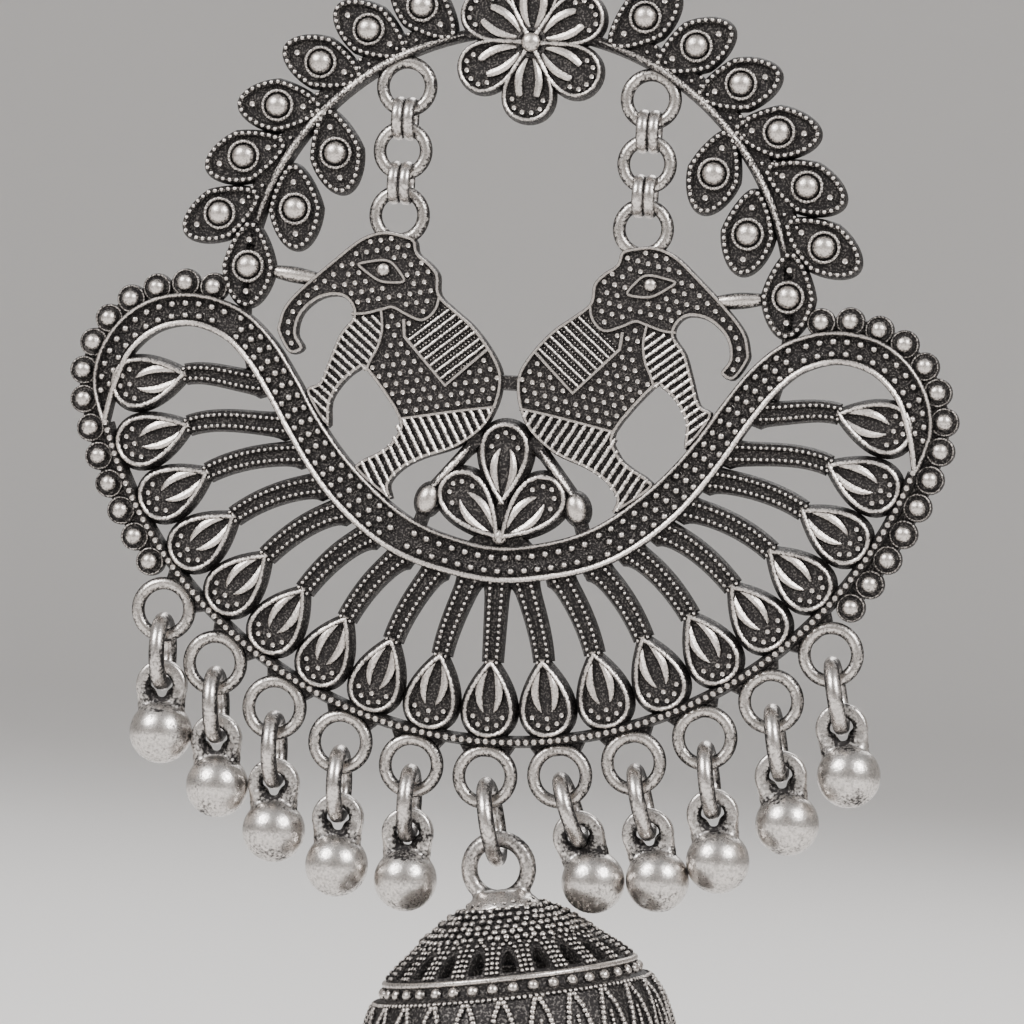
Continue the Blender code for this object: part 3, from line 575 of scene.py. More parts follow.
class Graph:
    """The node tree of one material."""

    def __init__(self, material: bpy.types.Material) -> None:
        """Start from a material's own nodes."""
        material.use_nodes = True
        self.nodes = material.node_tree.nodes
        self.links = material.node_tree.links
        self.shader = self.nodes["Principled BSDF"]

    def node(
        self, kind: str, settings: dict[str, object], values: dict[str | int, object],
        output: str | int = 0,
    ) -> Signal:
        """Add a node.

        Args:
            kind: the node's type.
            settings: its own settings, which are set first.
            values: the values or signals of its inputs.
            output: which output is wanted.

        Returns:
            The output, as a signal.
        """
        node = self.nodes.new(kind)
        for name, value in settings.items():
            setattr(node, name, value)
        for name, value in values.items():
            self.feed(node.inputs[name], value)
        return Signal(self, node.outputs[output])

    def feed(self, socket: bpy.types.NodeSocket, value: object) -> None:
        """Link a signal to a socket, or set the socket's value."""
        if isinstance(value, Signal):
            self.links.new(value.socket, socket)
        else:
            socket.default_value = value

    def noise(self, size: float, detail: float = 2.0) -> Signal:
        """Noise with grains of a size in millimetres."""
        where = self.node("ShaderNodeTexCoord", {}, {}, "Object")
        scale = 1.0 / (size * MILLIMETRE)
        return self.node("ShaderNodeTexNoise", {}, {"Vector": where, "Scale": scale, "Detail": detail})

    def blend(self, share: Signal, dark: object, bright: object) -> Signal:
        """A colour between two."""
        node = self.nodes.new("ShaderNodeMix")
        node.data_type = "RGBA"
        for name, value in (("Factor_Float", share), ("A_Color", dark), ("B_Color", bright)):
            self.feed(next(s for s in node.inputs if s.identifier == name), value)
        return Signal(self, next(s for s in node.outputs if s.identifier == "Result_Color"))


@dataclass(frozen=True)
class Silver:
    """A finish of oxidised silver, worn bright on its crests.

    Attributes:
        name: the material's name.
        bright: the worn metal's colour.
        dark: the oxide's colour.
        sheen: roughness of the worn metal.
        dull: roughness of the oxide.
        reach: how far down the wear goes, from 0 for the crests alone to 1 for all.
        speckle: how strongly fine pits break the wear.
        clouds: how strongly broad patches break the wear.
        grain: size of the pits, in millimetres.
        relief: how deep the pits are, in millimetres.
    """

    name: str
    bright: tuple[float, float, float, float] = (0.62, 0.57, 0.53, 1.0)
    dark: tuple[float, float, float, float] = (0.016, 0.014, 0.014, 1.0)
    sheen: float = 0.36
    dull: float = 0.6
    reach: float = 0.45
    speckle: float = 1.1
    clouds: float = 0.25
    grain: float = 0.13
    relief: float = 0.02

    def material(self) -> bpy.types.Material:
        """The material, made once."""
        known = bpy.data.materials.get(self.name)
        if known:
            return known
        material = bpy.data.materials.new(self.name)
        graph = Graph(material)
        # The attribute is rubbed metal over oxide, and on the drops also painted shade over the bead's
        # lower half.
        wear_and_shade = graph.node("ShaderNodeAttribute", {"attribute_name": "wear_and_shade"}, {}, "Fac")
        pits = graph.noise(self.grain, 3.0)
        broad = graph.noise(self.grain * 9.0)
        worn = wear_and_shade + (pits - 0.5) * self.speckle + (broad - 0.5) * self.clouds
        edge = 1.0 - self.reach
        mask = worn.ramp(edge - 0.24, edge + 0.24)
        oxide = graph.blend(pits.ramp(0.48, 0.72), self.dark, self.mixed(0.2))
        metal = graph.blend(pits.ramp(0.3, 0.6), self.mixed(0.6), self.bright)
        shader = graph.shader.inputs
        graph.feed(shader["Base Color"], graph.blend(mask, oxide, metal))
        fleck = (pits - 0.5) * 0.25
        graph.feed(shader["Roughness"], self.dull - mask * (self.dull - self.sheen) - fleck)
        graph.feed(shader["Metallic"], 0.75 + mask * 0.25)
        bump = graph.node(
            "ShaderNodeBump", {},
            {"Height": pits, "Strength": 1.0, "Distance": self.relief * MILLIMETRE}, "Normal",
        )
        graph.feed(shader["Normal"], bump)
        return material

    def mixed(self, share: float) -> tuple[float, ...]:
        """A colour between the oxide's and the metal's."""
        return tuple(d + (b - d) * share for b, d in zip(self.bright, self.dark))


CAST = Silver("oxidised_cast")
WIRE = Silver(
    "oxidised_wire", bright=(0.58, 0.54, 0.505, 1.0), sheen=0.3, reach=0.52, speckle=1.2, clouds=0.7,
    grain=0.16, relief=0.014,
)
RING = Silver(
    "oxidised_ring", bright=(0.6, 0.56, 0.53, 1.0), sheen=0.28, reach=0.6, speckle=0.75, clouds=0.7,
    grain=0.2, relief=0.01,
)
BEAD = Silver(
    "oxidised_bead", bright=(0.6, 0.565, 0.535, 1.0), sheen=0.3, reach=0.56, speckle=1.0, clouds=1.2,
    grain=0.2, relief=0.014,
)
BELL = Silver("oxidised_bell", reach=0.42, sheen=0.3, grain=0.16)


class Slot(Enum):
    """The record's material slots."""

    CAST = "cast_silver"
    WIRE = "wire_silver"
    BEAD = "bead_silver"
    BELL = "jhumki_silver"


CASTING = ("frame_casting",)


@dataclass
class Petal:
    """A petal with a wire rim, two bright kernels and a few dots, its foot at the origin.

    Attributes:
        length: from its pointed foot to its round tip.
        width: at its widest.
        rim: half the width of its rim.
        dots: the dots' places, as shares of the half width and the length.
        kernels: where the kernels start and end, as shares of the length.
        slot: half the gap between the kernels, as a share of the half width.
        kernel: half the width of a kernel.
        blunt: how far a kernel's tip is left off; 1 leaves it pointed.
        border: the dark border outside the rim.
        rim_lift: how high the rim's middle line stands over the floor.
        dot: a dot's radius and height.
        widest: the outline's factor at its widest, which the width is divided by.
    """

    length: float
    width: float
    rim: float = 0.19
    dots: Sequence[tuple[float, float]] = ()
    kernels: tuple[float, float] = (0.1, 0.66)
    slot: float = 0.13
    kernel: float = 0.3
    blunt: float = 1.0
    border: float = 0.14
    rim_lift: float = 0.2
    dot: tuple[float, float] = (0.2, 0.3)
    widest: float = 0.7698

    def outline(self) -> Line:
        """The petal's outline."""
        line = []
        count = 44
        for i in range(count):
            t = math.tau * i / count
            reach = self.length * (1 - math.cos(t)) / 2
            bulge = self.width / 2 * math.sin(t) * math.sin(t / 2) / self.widest
            line.append(Vector((bulge, reach)))
        return line

    def kernel_pair(self) -> Shape:
        """The two kernels, with a dark slot between them."""
        motif = Relief("kernels")
        start, end = self.kernels
        count = 14
        for hand in (-1, 1):
            line = []
            taper = []
            for i in range(count + 1):
                t = i / count
                swell = math.sin(math.pi * min(0.04 + t * 0.94, 1.0) * self.blunt) ** 0.6
                gap = (0.1 + 1.1 * math.sin(math.pi * 0.72 * t)) * self.slot * self.width / 2
                across = gap + swell * self.kernel
                line.append(Vector((hand * across, (start + (end - start) * t) * self.length)))
                taper.append(swell)
            ridge = rods([line], self.kernel, LEVELS.floor, False, 1.25, crest(0.0, 1.15), 2, taper)
            motif.add(ridge)
        return motif.whole()

    def shape(self) -> Shape:
        """The whole petal."""
        motif = Relief("petal")
        foot = inset(self.outline(), -self.border)
        motif.add(slab(foot, LEVELS.under(1), LEVELS.floor, self.border, 0.05))
        edge = inset(self.outline(), self.rim)
        height = LEVELS.floor + self.rim_lift
        motif.add(rods([edge], self.rim, height, True, 1.5, crest(0.0, 0.88), 2))
        motif.add(self.kernel_pair())
        spots = [Vector((x * self.width / 2, y * self.length)) for x, y in self.dots]
        motif.stud(pip(*self.dot), spots, LEVELS.floor)
        return motif.whole()


@dataclass
class Flower:
    """The flower over the ear post, with the post and its pad.

    Attributes:
        heart: the radius of the bead at its middle.
        layer: how far every second petal stands before its neighbours, where they overlap.
        pad: the radius of the pad that rests on the lobe.
        post: the radius of the post.
    """

    petals: int = 6
    petal: Petal = field(default_factory=lambda: Petal(
        5.5, 3.6, 0.16,
        [(-0.6, 0.72), (0.6, 0.72), (-0.5, 0.83), (0.5, 0.83), (-0.18, 0.88), (0.18, 0.88)],
        (0.15, 0.68), 0.17, 0.35, 0.8,
    ))
    heart: float = 0.72
    layer: float = 0.02
    pad: float = 3.0
    post: float = 0.45
    post_length: float = 11.0

    def build(self) -> None:
        """Build and dress the flower and the post."""
        flower = Relief("flower")
        middle = Vector((0.0, 0.0))
        step = math.tau / self.petals
        places = [at(middle, math.pi + step * i, self.layer * (i % 2)) for i in range(self.petals)]
        flower.add(self.petal.shape(), places)
        heart = dome(self.heart, self.heart * 0.8, 20, 12, crest(0.2))
        flower.stud(heart, [middle], LEVELS.face + 0.05)
        hollow = ring(self.heart + 0.18, 0.2, 32, crest(0.0, 0.1))
        flower.stud(hollow, [middle], LEVELS.face - 0.08)
        flower.cast(CAST)
        post = Relief("ear_post")
        lay = Matrix.Rotation(-math.pi / 2, 4, "X")
        back = LEVELS.back + 0.1
        disc = [Vector(p) for p in (
            (0.0, -back), (self.pad - 0.06, -back), (self.pad, -back + 0.08), (self.pad, -0.08),
            (self.pad - 0.06, 0.0), (0.0, 0.0),
        )]
        pin = [Vector(p) for p in (
            (0.0, -0.3), (self.post, -0.3), (self.post, self.post_length - 0.35),
            (self.post * 0.7, self.post_length - 0.08), (0.0, self.post_length),
        )]
        post.add(turned(disc, 48, even(0.7)), [lay])
        post.add(turned(pin, 24, even(0.85)), [lay])
        post.cast(WIRE)


@dataclass
class Wreath:
    """The stem behind the flower, with its leaves.

    Attributes:
        stem: half the width of the stem's bright wire.
        web: how far the dark web between the outer leaves' feet reaches out.
        flower: how far from the middle the bright wire starts.
        above: how far the stem's crown lies above the flower's centre.
        shoulder: the stem's foot, in shares of the crescent's radius.
        out: how far the outer leaves' bosses lie outside the stem.
        outer_reach: from a leaf's boss to its round end.
        inner_reach: from a leaf's boss to its foot.
        rim: how far the leaf's round edge lies inside the outline, and half its width.
        granule: the radius, height and pitch of the granules, as far in from the edge as high.
        collar: the collar's distance from the boss and half its wire.
        dots: where the two dots on a leaf's long axis are.
        corner_grains: where granules fill the gap between two outer leaves, as a share of the way
            from leaf to leaf and a distance in from the stem.
        outer: place round the wreath and turn of each outer leaf, in degrees.
        inner: place round the wreath, distance in from the stem and lean of each inner leaf.
    """

    stem: float = 0.32
    web: float = 1.35
    flower: float = 4.3
    above: float = 0.9
    shoulder: tuple[float, float] = (0.613, 0.168)
    out: float = 2.7
    outer_reach: float = 2.85
    inner_reach: float = 3.15
    width: float = 3.7
    boss: float = 0.82
    rim: float = 0.24
    granule: tuple[float, float, float] = (0.19, 0.2, 0.47)
    collar: tuple[float, float] = (0.2, 0.16)
    dots: tuple[float, float] = (-1.85, 1.75)
    corner_grains: Sequence[tuple[float, float]] = (
        (0.5, -0.75), (0.42, -1.15), (0.6, -1.2), (0.3, -0.6), (0.7, -0.6),
    )
    outer: Sequence[tuple[float, float]] = (
        (13.7, -30), (25.1, -21), (36.3, 0), (47.5, 19), (58.2, 31), (69.0, 42),
    )
    inner: Sequence[tuple[float, float, float]] = (
        (36.5, 2.6, 15), (20.0, 2.2, 6), (4.8, 0.1, 0),
    )

    def circle(self) -> tuple[Vector, float]:
        """The stem's centre and radius."""
        foot = MOON.point(*self.shoulder)
        top = self.above
        centre = (top ** 2 - foot.x ** 2 - foot.y ** 2) / (2 * (top - foot.y))
        return Vector((0.0, centre)), top - centre

    def spot(self, place: float, inward: float) -> Vector:
        """A point at a place round the stem, in degrees, and a distance in from it."""
        centre, radius = self.circle()
        angle = math.radians(place)
        return centre + Vector((math.cos(angle), math.sin(angle))) * (radius - inward)

    def leaf_outline(self) -> Line:
        """A leaf's outline about its boss, with its round end at +X."""
        line = []
        count = 48
        for i in range(count):
            t = math.tau * i / count
            share = math.cos(t)
            reach = share * (self.outer_reach if share > 0 else self.inner_reach)
            pinch = 1.0 - 0.14 * abs(share) if share > 0 else 1.0 - 0.34 * abs(share)
            line.append(Vector((reach, math.sin(t) * self.width / 2 * pinch)))
        return line

    def leaf(self) -> Shape:
        """A leaf with a granulated rim and a ringed boss."""
        motif = Relief("leaf")
        outline = self.leaf_outline()
        motif.add(slab(inset(outline, -0.1), LEVELS.under(1), LEVELS.floor - 0.05, 0.16, 0.06))
        edge = inset(outline, self.rim)
        motif.add(rods([edge], self.rim, LEVELS.floor, True, 1.1, crest(0.0, 0.4)))
        radius, height, pitch = self.granule
        row = strung(inset(outline, height), pitch, True)
        motif.stud(dome(radius, height), row, LEVELS.floor + height)
        heart = [Vector((0.0, 0.0))]
        motif.stud(dome(self.boss, 0.66, 24, 12, crest(0.15)), heart, LEVELS.floor + 0.14)
        gap, wire = self.collar
        collar = self.boss + gap
        motif.stud(ring(collar, wire, 36, crest(0.0, 0.7)), heart, LEVELS.floor + 0.1)
        motif.stud(dome(0.12, 0.13, 7, 5), oval(collar, collar, 24), LEVELS.floor + 0.2)
        motif.stud(pip(0.24, 0.36), [Vector((x, 0.0)) for x in self.dots], LEVELS.floor)
        return motif.whole()

    def build(self) -> None:
        """Build and dress the stem and the leaves."""
        centre, radius = self.circle()
        foot = MOON.point(*self.shoulder)
        first = math.atan2(foot.y - centre.y, foot.x - centre.x)
        count = 90
        arc = []
        for i in range(count + 1):
            angle = first + (math.pi - 2 * first) * i / count
            arc.append(centre + Vector((math.cos(angle), math.sin(angle))) * radius)
        stem = Relief("wreath_stem")
        bar = strip(arc, self.stem + 0.08, self.stem + 0.08)
        stem.add(slab(bar, LEVELS.back, LEVELS.face - 0.3, 0.1, 0.1))
        end = self.spot(self.inner[-1][0], 0.0).y + self.inner_reach * 0.8
        side = [p for p in arc if p.x > self.flower and p.y > end]
        shares = np.linspace(0.0, 1.0, len(side))
        taper = [min(1.0, 0.45 + 3.0 * share, 0.25 + 4.0 * (1.0 - share)) for share in shares]
        bright = rods([side], self.stem, LEVELS.face - 0.2, False, 1.25, crest(0.0, 0.62), 2, taper)
        stem.add(bright, [HERE, MIRROR])
        low, high = self.outer[0][0] - 3.0, self.outer[-1][0] + 4.0
        turns = np.linspace(low, high, 41)
        web = [self.spot(turn, 0.1) for turn in turns]
        web += [self.spot(turn, -self.web) for turn in turns[::-1]]
        stem.add(slab(web, LEVELS.under(2), LEVELS.floor - 0.12, 0.15, 0.08), [HERE, MIRROR])
        grains = []
        for first, second in zip(self.outer, self.outer[1:]):
            for share, inward in self.corner_grains:
                grains.append(self.spot(first[0] + (second[0] - first[0]) * share, inward))
        stem.stud(dome(0.17, 0.2, 7, 5), grains, LEVELS.floor - 0.05)
        stem.stud(dome(0.17, 0.2, 7, 5), [Vector((-p.x, p.y)) for p in grains], LEVELS.floor - 0.05)
        stem.cast(CAST)
        leaves = Relief("wreath_leaves")
        places = []
        for place, turn in self.outer:
            places.append(at(self.spot(place, -self.out), math.radians(turn)))
        for place, inward, lean in self.inner:
            places.append(at(self.spot(place, inward), -math.pi / 2 - math.radians(lean)))
        leaves.add(self.leaf(), places)
        leaves.mirror()
        leaves.cast(CAST)


@dataclass
class Band:
    """The crescent's inner band: two bright rims with rows of dots between them.

    Attributes:
        dot: the radius of a dot.
        pitch: the distance between two dots of a row.
        low_wire: half the width of the lower rim.
        high_wire: half the width of the upper rim.
        rim_lift: how high the rims' middle lines stand over the floor.
        rows: its dots, as stretches across and the rows in each, in shares of the half width.
        line: its middle line and width, in shares of the crescent's radius and of width.
    """

    width: float = 2.5
    dot: float = 0.27
    pitch: float = 0.96
    low_wire: float = 0.23
    high_wire: float = 0.17
    rim_lift: float = 0.25
    rows: Sequence[tuple[tuple[float, float], Sequence[float]]] = (
        ((0.0, 0.23), (-0.45, 0.45)), ((0.24, 0.66), (-0.62, 0.0, 0.62)), ((0.672, 1.0), (-0.45, 0.45)),
    )
    line: Sequence[tuple[float, float, float]] = (
        (0.000, 0.589, 1.00), (0.097, 0.577, 1.02), (0.200, 0.548, 1.08), (0.284, 0.502, 1.12),
        (0.364, 0.435, 1.12), (0.427, 0.365, 1.06), (0.486, 0.283, 1.00), (0.532, 0.209, 1.00),
        (0.595, 0.123, 1.00), (0.664, 0.065, 0.97), (0.760, 0.039, 0.92), (0.856, 0.061, 0.93),
        (0.926, 0.128, 0.88), (0.956, 0.217, 0.75), (0.953, 0.318, 0.16),
    )

    def middle(self) -> tuple[Line, list[float]]:
        """The whole middle line, from the left tip to the right one, and its widths."""
        right = [MOON.point(a, d) for a, d, _ in self.line]
        points = [Vector((-p.x, p.y)) for p in right[:0:-1]] + right
        shares = [w for _, _, w in self.line]
        widths = [Vector((w * self.width, 0.0)) for w in shares[:0:-1] + shares]
        return smooth(points, 8), [w.x for w in smooth(widths, 8)]

    def edges(self) -> tuple[Line, Line]:
        """The band's upper and lower edges, from left to right."""
        middle, widths = self.middle()
        sides = sides_of(middle)
        upper = [p + n * w / 2 for p, n, w in zip(middle, sides, widths)]
        lower = [p - n * w / 2 for p, n, w in zip(middle, sides, widths)]
        return upper, lower

    def build(self) -> None:
        """Build and dress the band."""
        upper, lower = self.edges()
        band = Relief("crescent_band")
        band.add(slab(upper + lower[::-1], LEVELS.back, LEVELS.floor, 0.1, 0.08))
        low_rim = beside(lower, 0.2)
        high_rim = beside(upper, -self.high_wire)
        height = LEVELS.floor + self.rim_lift
        band.add(rods([low_rim], self.low_wire, height, False, 1.4, crest(0.0, 1.0), 2))
        band.add(rods([high_rim], self.high_wire, height, False, 1.6, crest(0.0, 0.85), 2))
        middle, widths = self.middle()
        spots = []
        sides = sides_of(middle)
        for stretch, offsets in self.rows:
            low, high = (share * MOON.radius for share in stretch)
            for number, offset in enumerate(offsets):
                for hand in (-1, 1):
                    row = []
                    for p, n, w in zip(middle, sides, widths):
                        if w > 0.6 * self.width and low <= hand * p.x <= high:
                            row.append(p + n * (w / 2 - 0.2) * offset)
                    # Rows alternate, and the dot in the very middle is set once.
                    start = 1 if number % 2 else 1 - hand
                    spots += strung(row[::hand], self.pitch / 2)[start::2]
        band.stud(dome(self.dot, 0.3, 10, 7), spots, LEVELS.floor + 0.04)
        collar = ring(self.dot + 0.12, 0.04, 14, crest(0.0, 0.35), 5)
        band.stud(collar, spots, LEVELS.floor + 0.01)
        band.cast(CAST)


@dataclass
class Fan:
    """The crescent's teardrops, the ribs that carry them and the granulated rim arc.

    Attributes:
        spread: the swing of the last teardrop.
        end_inward: how much further in the last teardrops' feet lie.
        grain_pitch: the distance between two dots of the rim arc.
        rib_root: a rib's width at the band.
        rib_tip: a rib's width at its teardrop.
        rib_border: the dark border beside a rib's rows.
        rib_tuck: how far a rib reaches back under the band.
        flare: how much wider the dark border is at the band.
        granule: the radius, height and pitch of a rib's granules.
        roots: where each rib leaves the band, in shares of the radius, and its lean in degrees.
        end: the rim arc's end, in shares of the crescent's radius.
    """

    teardrops: int = 19
    spread: float = math.radians(76.05)
    end_inward: float = 0.7
    petal: Petal = field(default_factory=lambda: Petal(
        5.5, 3.6, 0.19,
        [(-0.57, 0.73), (0.57, 0.73), (-0.36, 0.83), (0.36, 0.83), (0.0, 0.88), (0.0, 0.76)],
        (0.06, 0.68), 0.17, 0.35, 1.0, 0.24,
    ))
    rim_width: float = 0.85
    grain_pitch: float = 0.56
    rib_root: float = 1.5
    rib_tip: float = 1.25
    rib_border: float = 0.13
    rib_tuck: float = 0.7
    flare: float = 0.24
    granule: tuple[float, float, float] = (0.16, 0.18, 0.42)
    roots: Sequence[tuple[float, float]] = (
        (0.000, 0), (0.064, 12), (0.147, 20), (0.232, 26), (0.308, 30), (0.377, 32),
        (0.431, 32), (0.483, 28), (0.525, 22), (0.589, 14),
    )
    end: tuple[float, float] = (0.953, 0.318)

    def foot_radius(self, n: int) -> float:
        """How far the foot of a teardrop lies from the crescent's centre."""
        radius = MOON.radius - self.rim_width / 4 - self.petal.length
        return radius - self.end_inward if abs(n) == self.teardrops // 2 else radius

    def rib_line(self, n: int, lower: Line) -> Line:
        """The middle line of a rib on the right half.

        Args:
            n: its number from the middle one.
            lower: the band's lower edge.

        Returns:
            The line, from the band to the teardrop's foot.
        """
        across, lean = self.roots[n]
        wanted = across * MOON.radius
        right = [p for p in lower if p.x >= -1e-6]
        root = min(right[:len(right) * 3 // 4], key=lambda p: abs(p.x - wanted)).copy()
        root.x = wanted
        swing = self.spread * n / (self.teardrops // 2)
        end = MOON.polar(self.foot_radius(n) + self.petal.length / 20, swing)
        reach = (end - root).length / 3
        aim = swing + math.radians(lean)
        leaving = root + Vector((math.sin(aim), -math.cos(aim))) * reach
        arriving = end - Vector((math.sin(swing), -math.cos(swing))) * reach
        return [
            root * (1 - t) ** 3 + leaving * 3 * t * (1 - t) ** 2
            + arriving * 3 * t ** 2 * (1 - t) + end * t ** 3
            for t in np.linspace(0.0, 1.0, 19)
        ]

    def rib(self, line: Line) -> Shape:
        """A rib with its double row of granules."""
        motif = Relief("rib")
        widths = np.linspace(self.rib_root, self.rib_tip, len(line))
        halves = [widths[0] / 2, *(widths / 2)]
        flares = [0.0] + [self.flare * math.exp(-0.9 * i) for i in range(len(line))]
        line = [line[0] + (line[0] - line[1]).normalized() * self.rib_tuck, *line]
        border = ribbon(line, [w + self.rib_border + f for w, f in zip(halves, flares)])
        motif.add(slab(border, LEVELS.under(2), LEVELS.floor - 0.05, 0.16, 0.06))
        radius, height, pitch = self.granule
        for hand in (-1, 1):
            row = [p + n * hand * w * 0.56 for p, n, w in zip(line, sides_of(line), halves)][1:]
            motif.add(rods([row], 0.19, LEVELS.floor - 0.03, False, 0.9, crest(0.0, 0.35)))
            motif.stud(dome(radius, height, 7, 5), strung(row, pitch), LEVELS.floor + 0.15)
        return motif.whole()

    def build(self, band: Band) -> None:
        """Build and dress the fan below a band."""
        _, lower = band.edges()
        ribs = Relief("crescent_ribs")
        half = self.teardrops // 2
        for n in range(half + 1):
            rib = self.rib(self.rib_line(n, lower))
            ribs.add(rib, [HERE, MIRROR] if n else [HERE])
        ribs.cast(CAST)
        drops = Relief("crescent_teardrops")
        places = []
        for n in range(-half, half + 1):
            swing = self.spread * n / half
            places.append(at(MOON.polar(self.foot_radius(n), swing), math.pi + swing))
        drops.add(self.petal.shape(), places)
        drops.cast(CAST)
        tip = MOON.point(*self.end)
        last = math.atan2(tip.x, MOON.centre - tip.y)
        arc = [MOON.polar(MOON.radius, last * i / 90) for i in range(-90, 91)]
        rim = Relief("crescent_rim")
        bar = strip(arc, self.rim_width / 2, self.rim_width / 2)
        rim.add(slab(bar, LEVELS.under(3), LEVELS.face - 0.05, 0.18, 0.08))
        rim.add(rods([arc], 0.2, LEVELS.face - 0.05, False, 1.0, crest(0.0, 0.35)))
        rim.stud(pip(0.225, 0.26), strung(arc, self.grain_pitch), LEVELS.face + 0.08)
        rim.cast(CAST)


@dataclass
class Edge:
    """The domed beads on scallops along the outer edge, and the loops for the drops.

    Attributes:
        beads: the number of beads on each side.
        bead: a bead's radius.
        scallop: the radius of the disc under a bead.
        layer: how far every second scallop stands before its neighbours, where they overlap.
        start: where the first bead is, across, in shares of the crescent's radius.
        end: the last bead's swing from straight down.
        seat: how far the rim arc's outer edge lies outside its middle line.
        spread: the swing of the first and last loop.
        hole: the radius of a loop's hole.
        wire: half a loop's wire.
        foot: a loop's dark foot, as swings from its middle and distances from the arc.
    """

    beads: int = 14
    bead: float = 0.63
    scallop: float = 1.02
    layer: float = 0.02
    start: float = 0.714
    end: float = math.radians(52.4)
    loops: int = 11
    spread: float = math.radians(46.5)
    seat: float = 0.4
    hole: float = 1.375
    wire: float = 0.45
    foot: Sequence[tuple[float, float]] = ((-0.07, 0.2), (-0.048, 1.15), (0.048, 1.15), (0.07, 0.2))

    def places(self, band: Band) -> Line:
        """The right-hand beads: over the band's shoulder, then down the rim arc."""
        points = [MOON.point(a, d) for a, d, _ in band.line]
        widths = [w * band.width for _, _, w in band.line]
        sides = sides_of(points)
        lift = self.scallop * 0.83
        edge = [p + n * (w / 2 + lift) for p, n, w in zip(points, sides, widths)]
        start = self.start * MOON.radius
        after = next(i for i, p in enumerate(edge) if p.x > start)
        a, b = edge[after - 1:after + 1]
        path = [a.lerp(b, (start - a.x) / (b.x - a.x)), *edge[after:-1]]
        radius = MOON.radius + self.seat + 0.8
        first = math.asin((MOON.centre - path[-1].y) / radius)
        sweep = math.pi / 2 - self.end - first
        count = 16
        for i in range(1, count + 1):
            path.append(MOON.polar(radius, math.pi / 2 - first - sweep * i / count))
        total = sum((b - a).length for a, b in zip(path, path[1:]))
        return strung(path, total / (self.beads - 1))

    def loop_place(self, n: int) -> Vector:
        """The centre of a loop, counted from the left."""
        swing = self.spread * (2 * n / (self.loops - 1) - 1)
        return MOON.polar(MOON.radius + self.seat + self.hole + self.wire * 1.5, swing)

    def build(self, band: Band) -> None:
        """Build and dress the beads and the loops."""
        beads = Relief("edge_beads")
        motif = Relief("bead")
        middle = [Vector((0.0, 0.0))]
        disc = oval(self.scallop, self.scallop, 24)
        motif.add(slab(disc, LEVELS.under(1), LEVELS.floor - 0.12, 0.12, 0.1))
        motif.stud(dome(self.bead, 0.6, 18, 10, crest(0.1)), middle, LEVELS.floor + 0.05)
        collar = ring(self.scallop - 0.12, 0.09, 28, crest(0.0, 0.55))
        motif.stud(collar, middle, LEVELS.floor - 0.12)
        places = self.places(band)
        beads.add(motif.whole(), [at(p, 0.0, self.layer * (n % 2)) for n, p in enumerate(places)])
        web = strip(smooth(places, 4), 0.35, 0.95)
        beads.add(slab(web, LEVELS.under(4), LEVELS.floor - 0.3, 0.1, 0.08))
        beads.mirror()
        beads.cast(CAST)
        loops = Relief("drop_loops")
        shape = ring(self.hole + self.wire, self.wire, 44, crest(0.0, 0.78), 14)
        loops.stud(shape, [self.loop_place(n) for n in range(self.loops)], LEVELS.middle)
        for swing in np.linspace(-self.spread, self.spread, self.loops):
            web = [MOON.polar(MOON.radius + out, swing + turn) for turn, out in self.foot]
            loops.add(slab(web, LEVELS.under(4), LEVELS.floor - 0.3, 0.1, 0.08))
        loops.cast(WIRE)


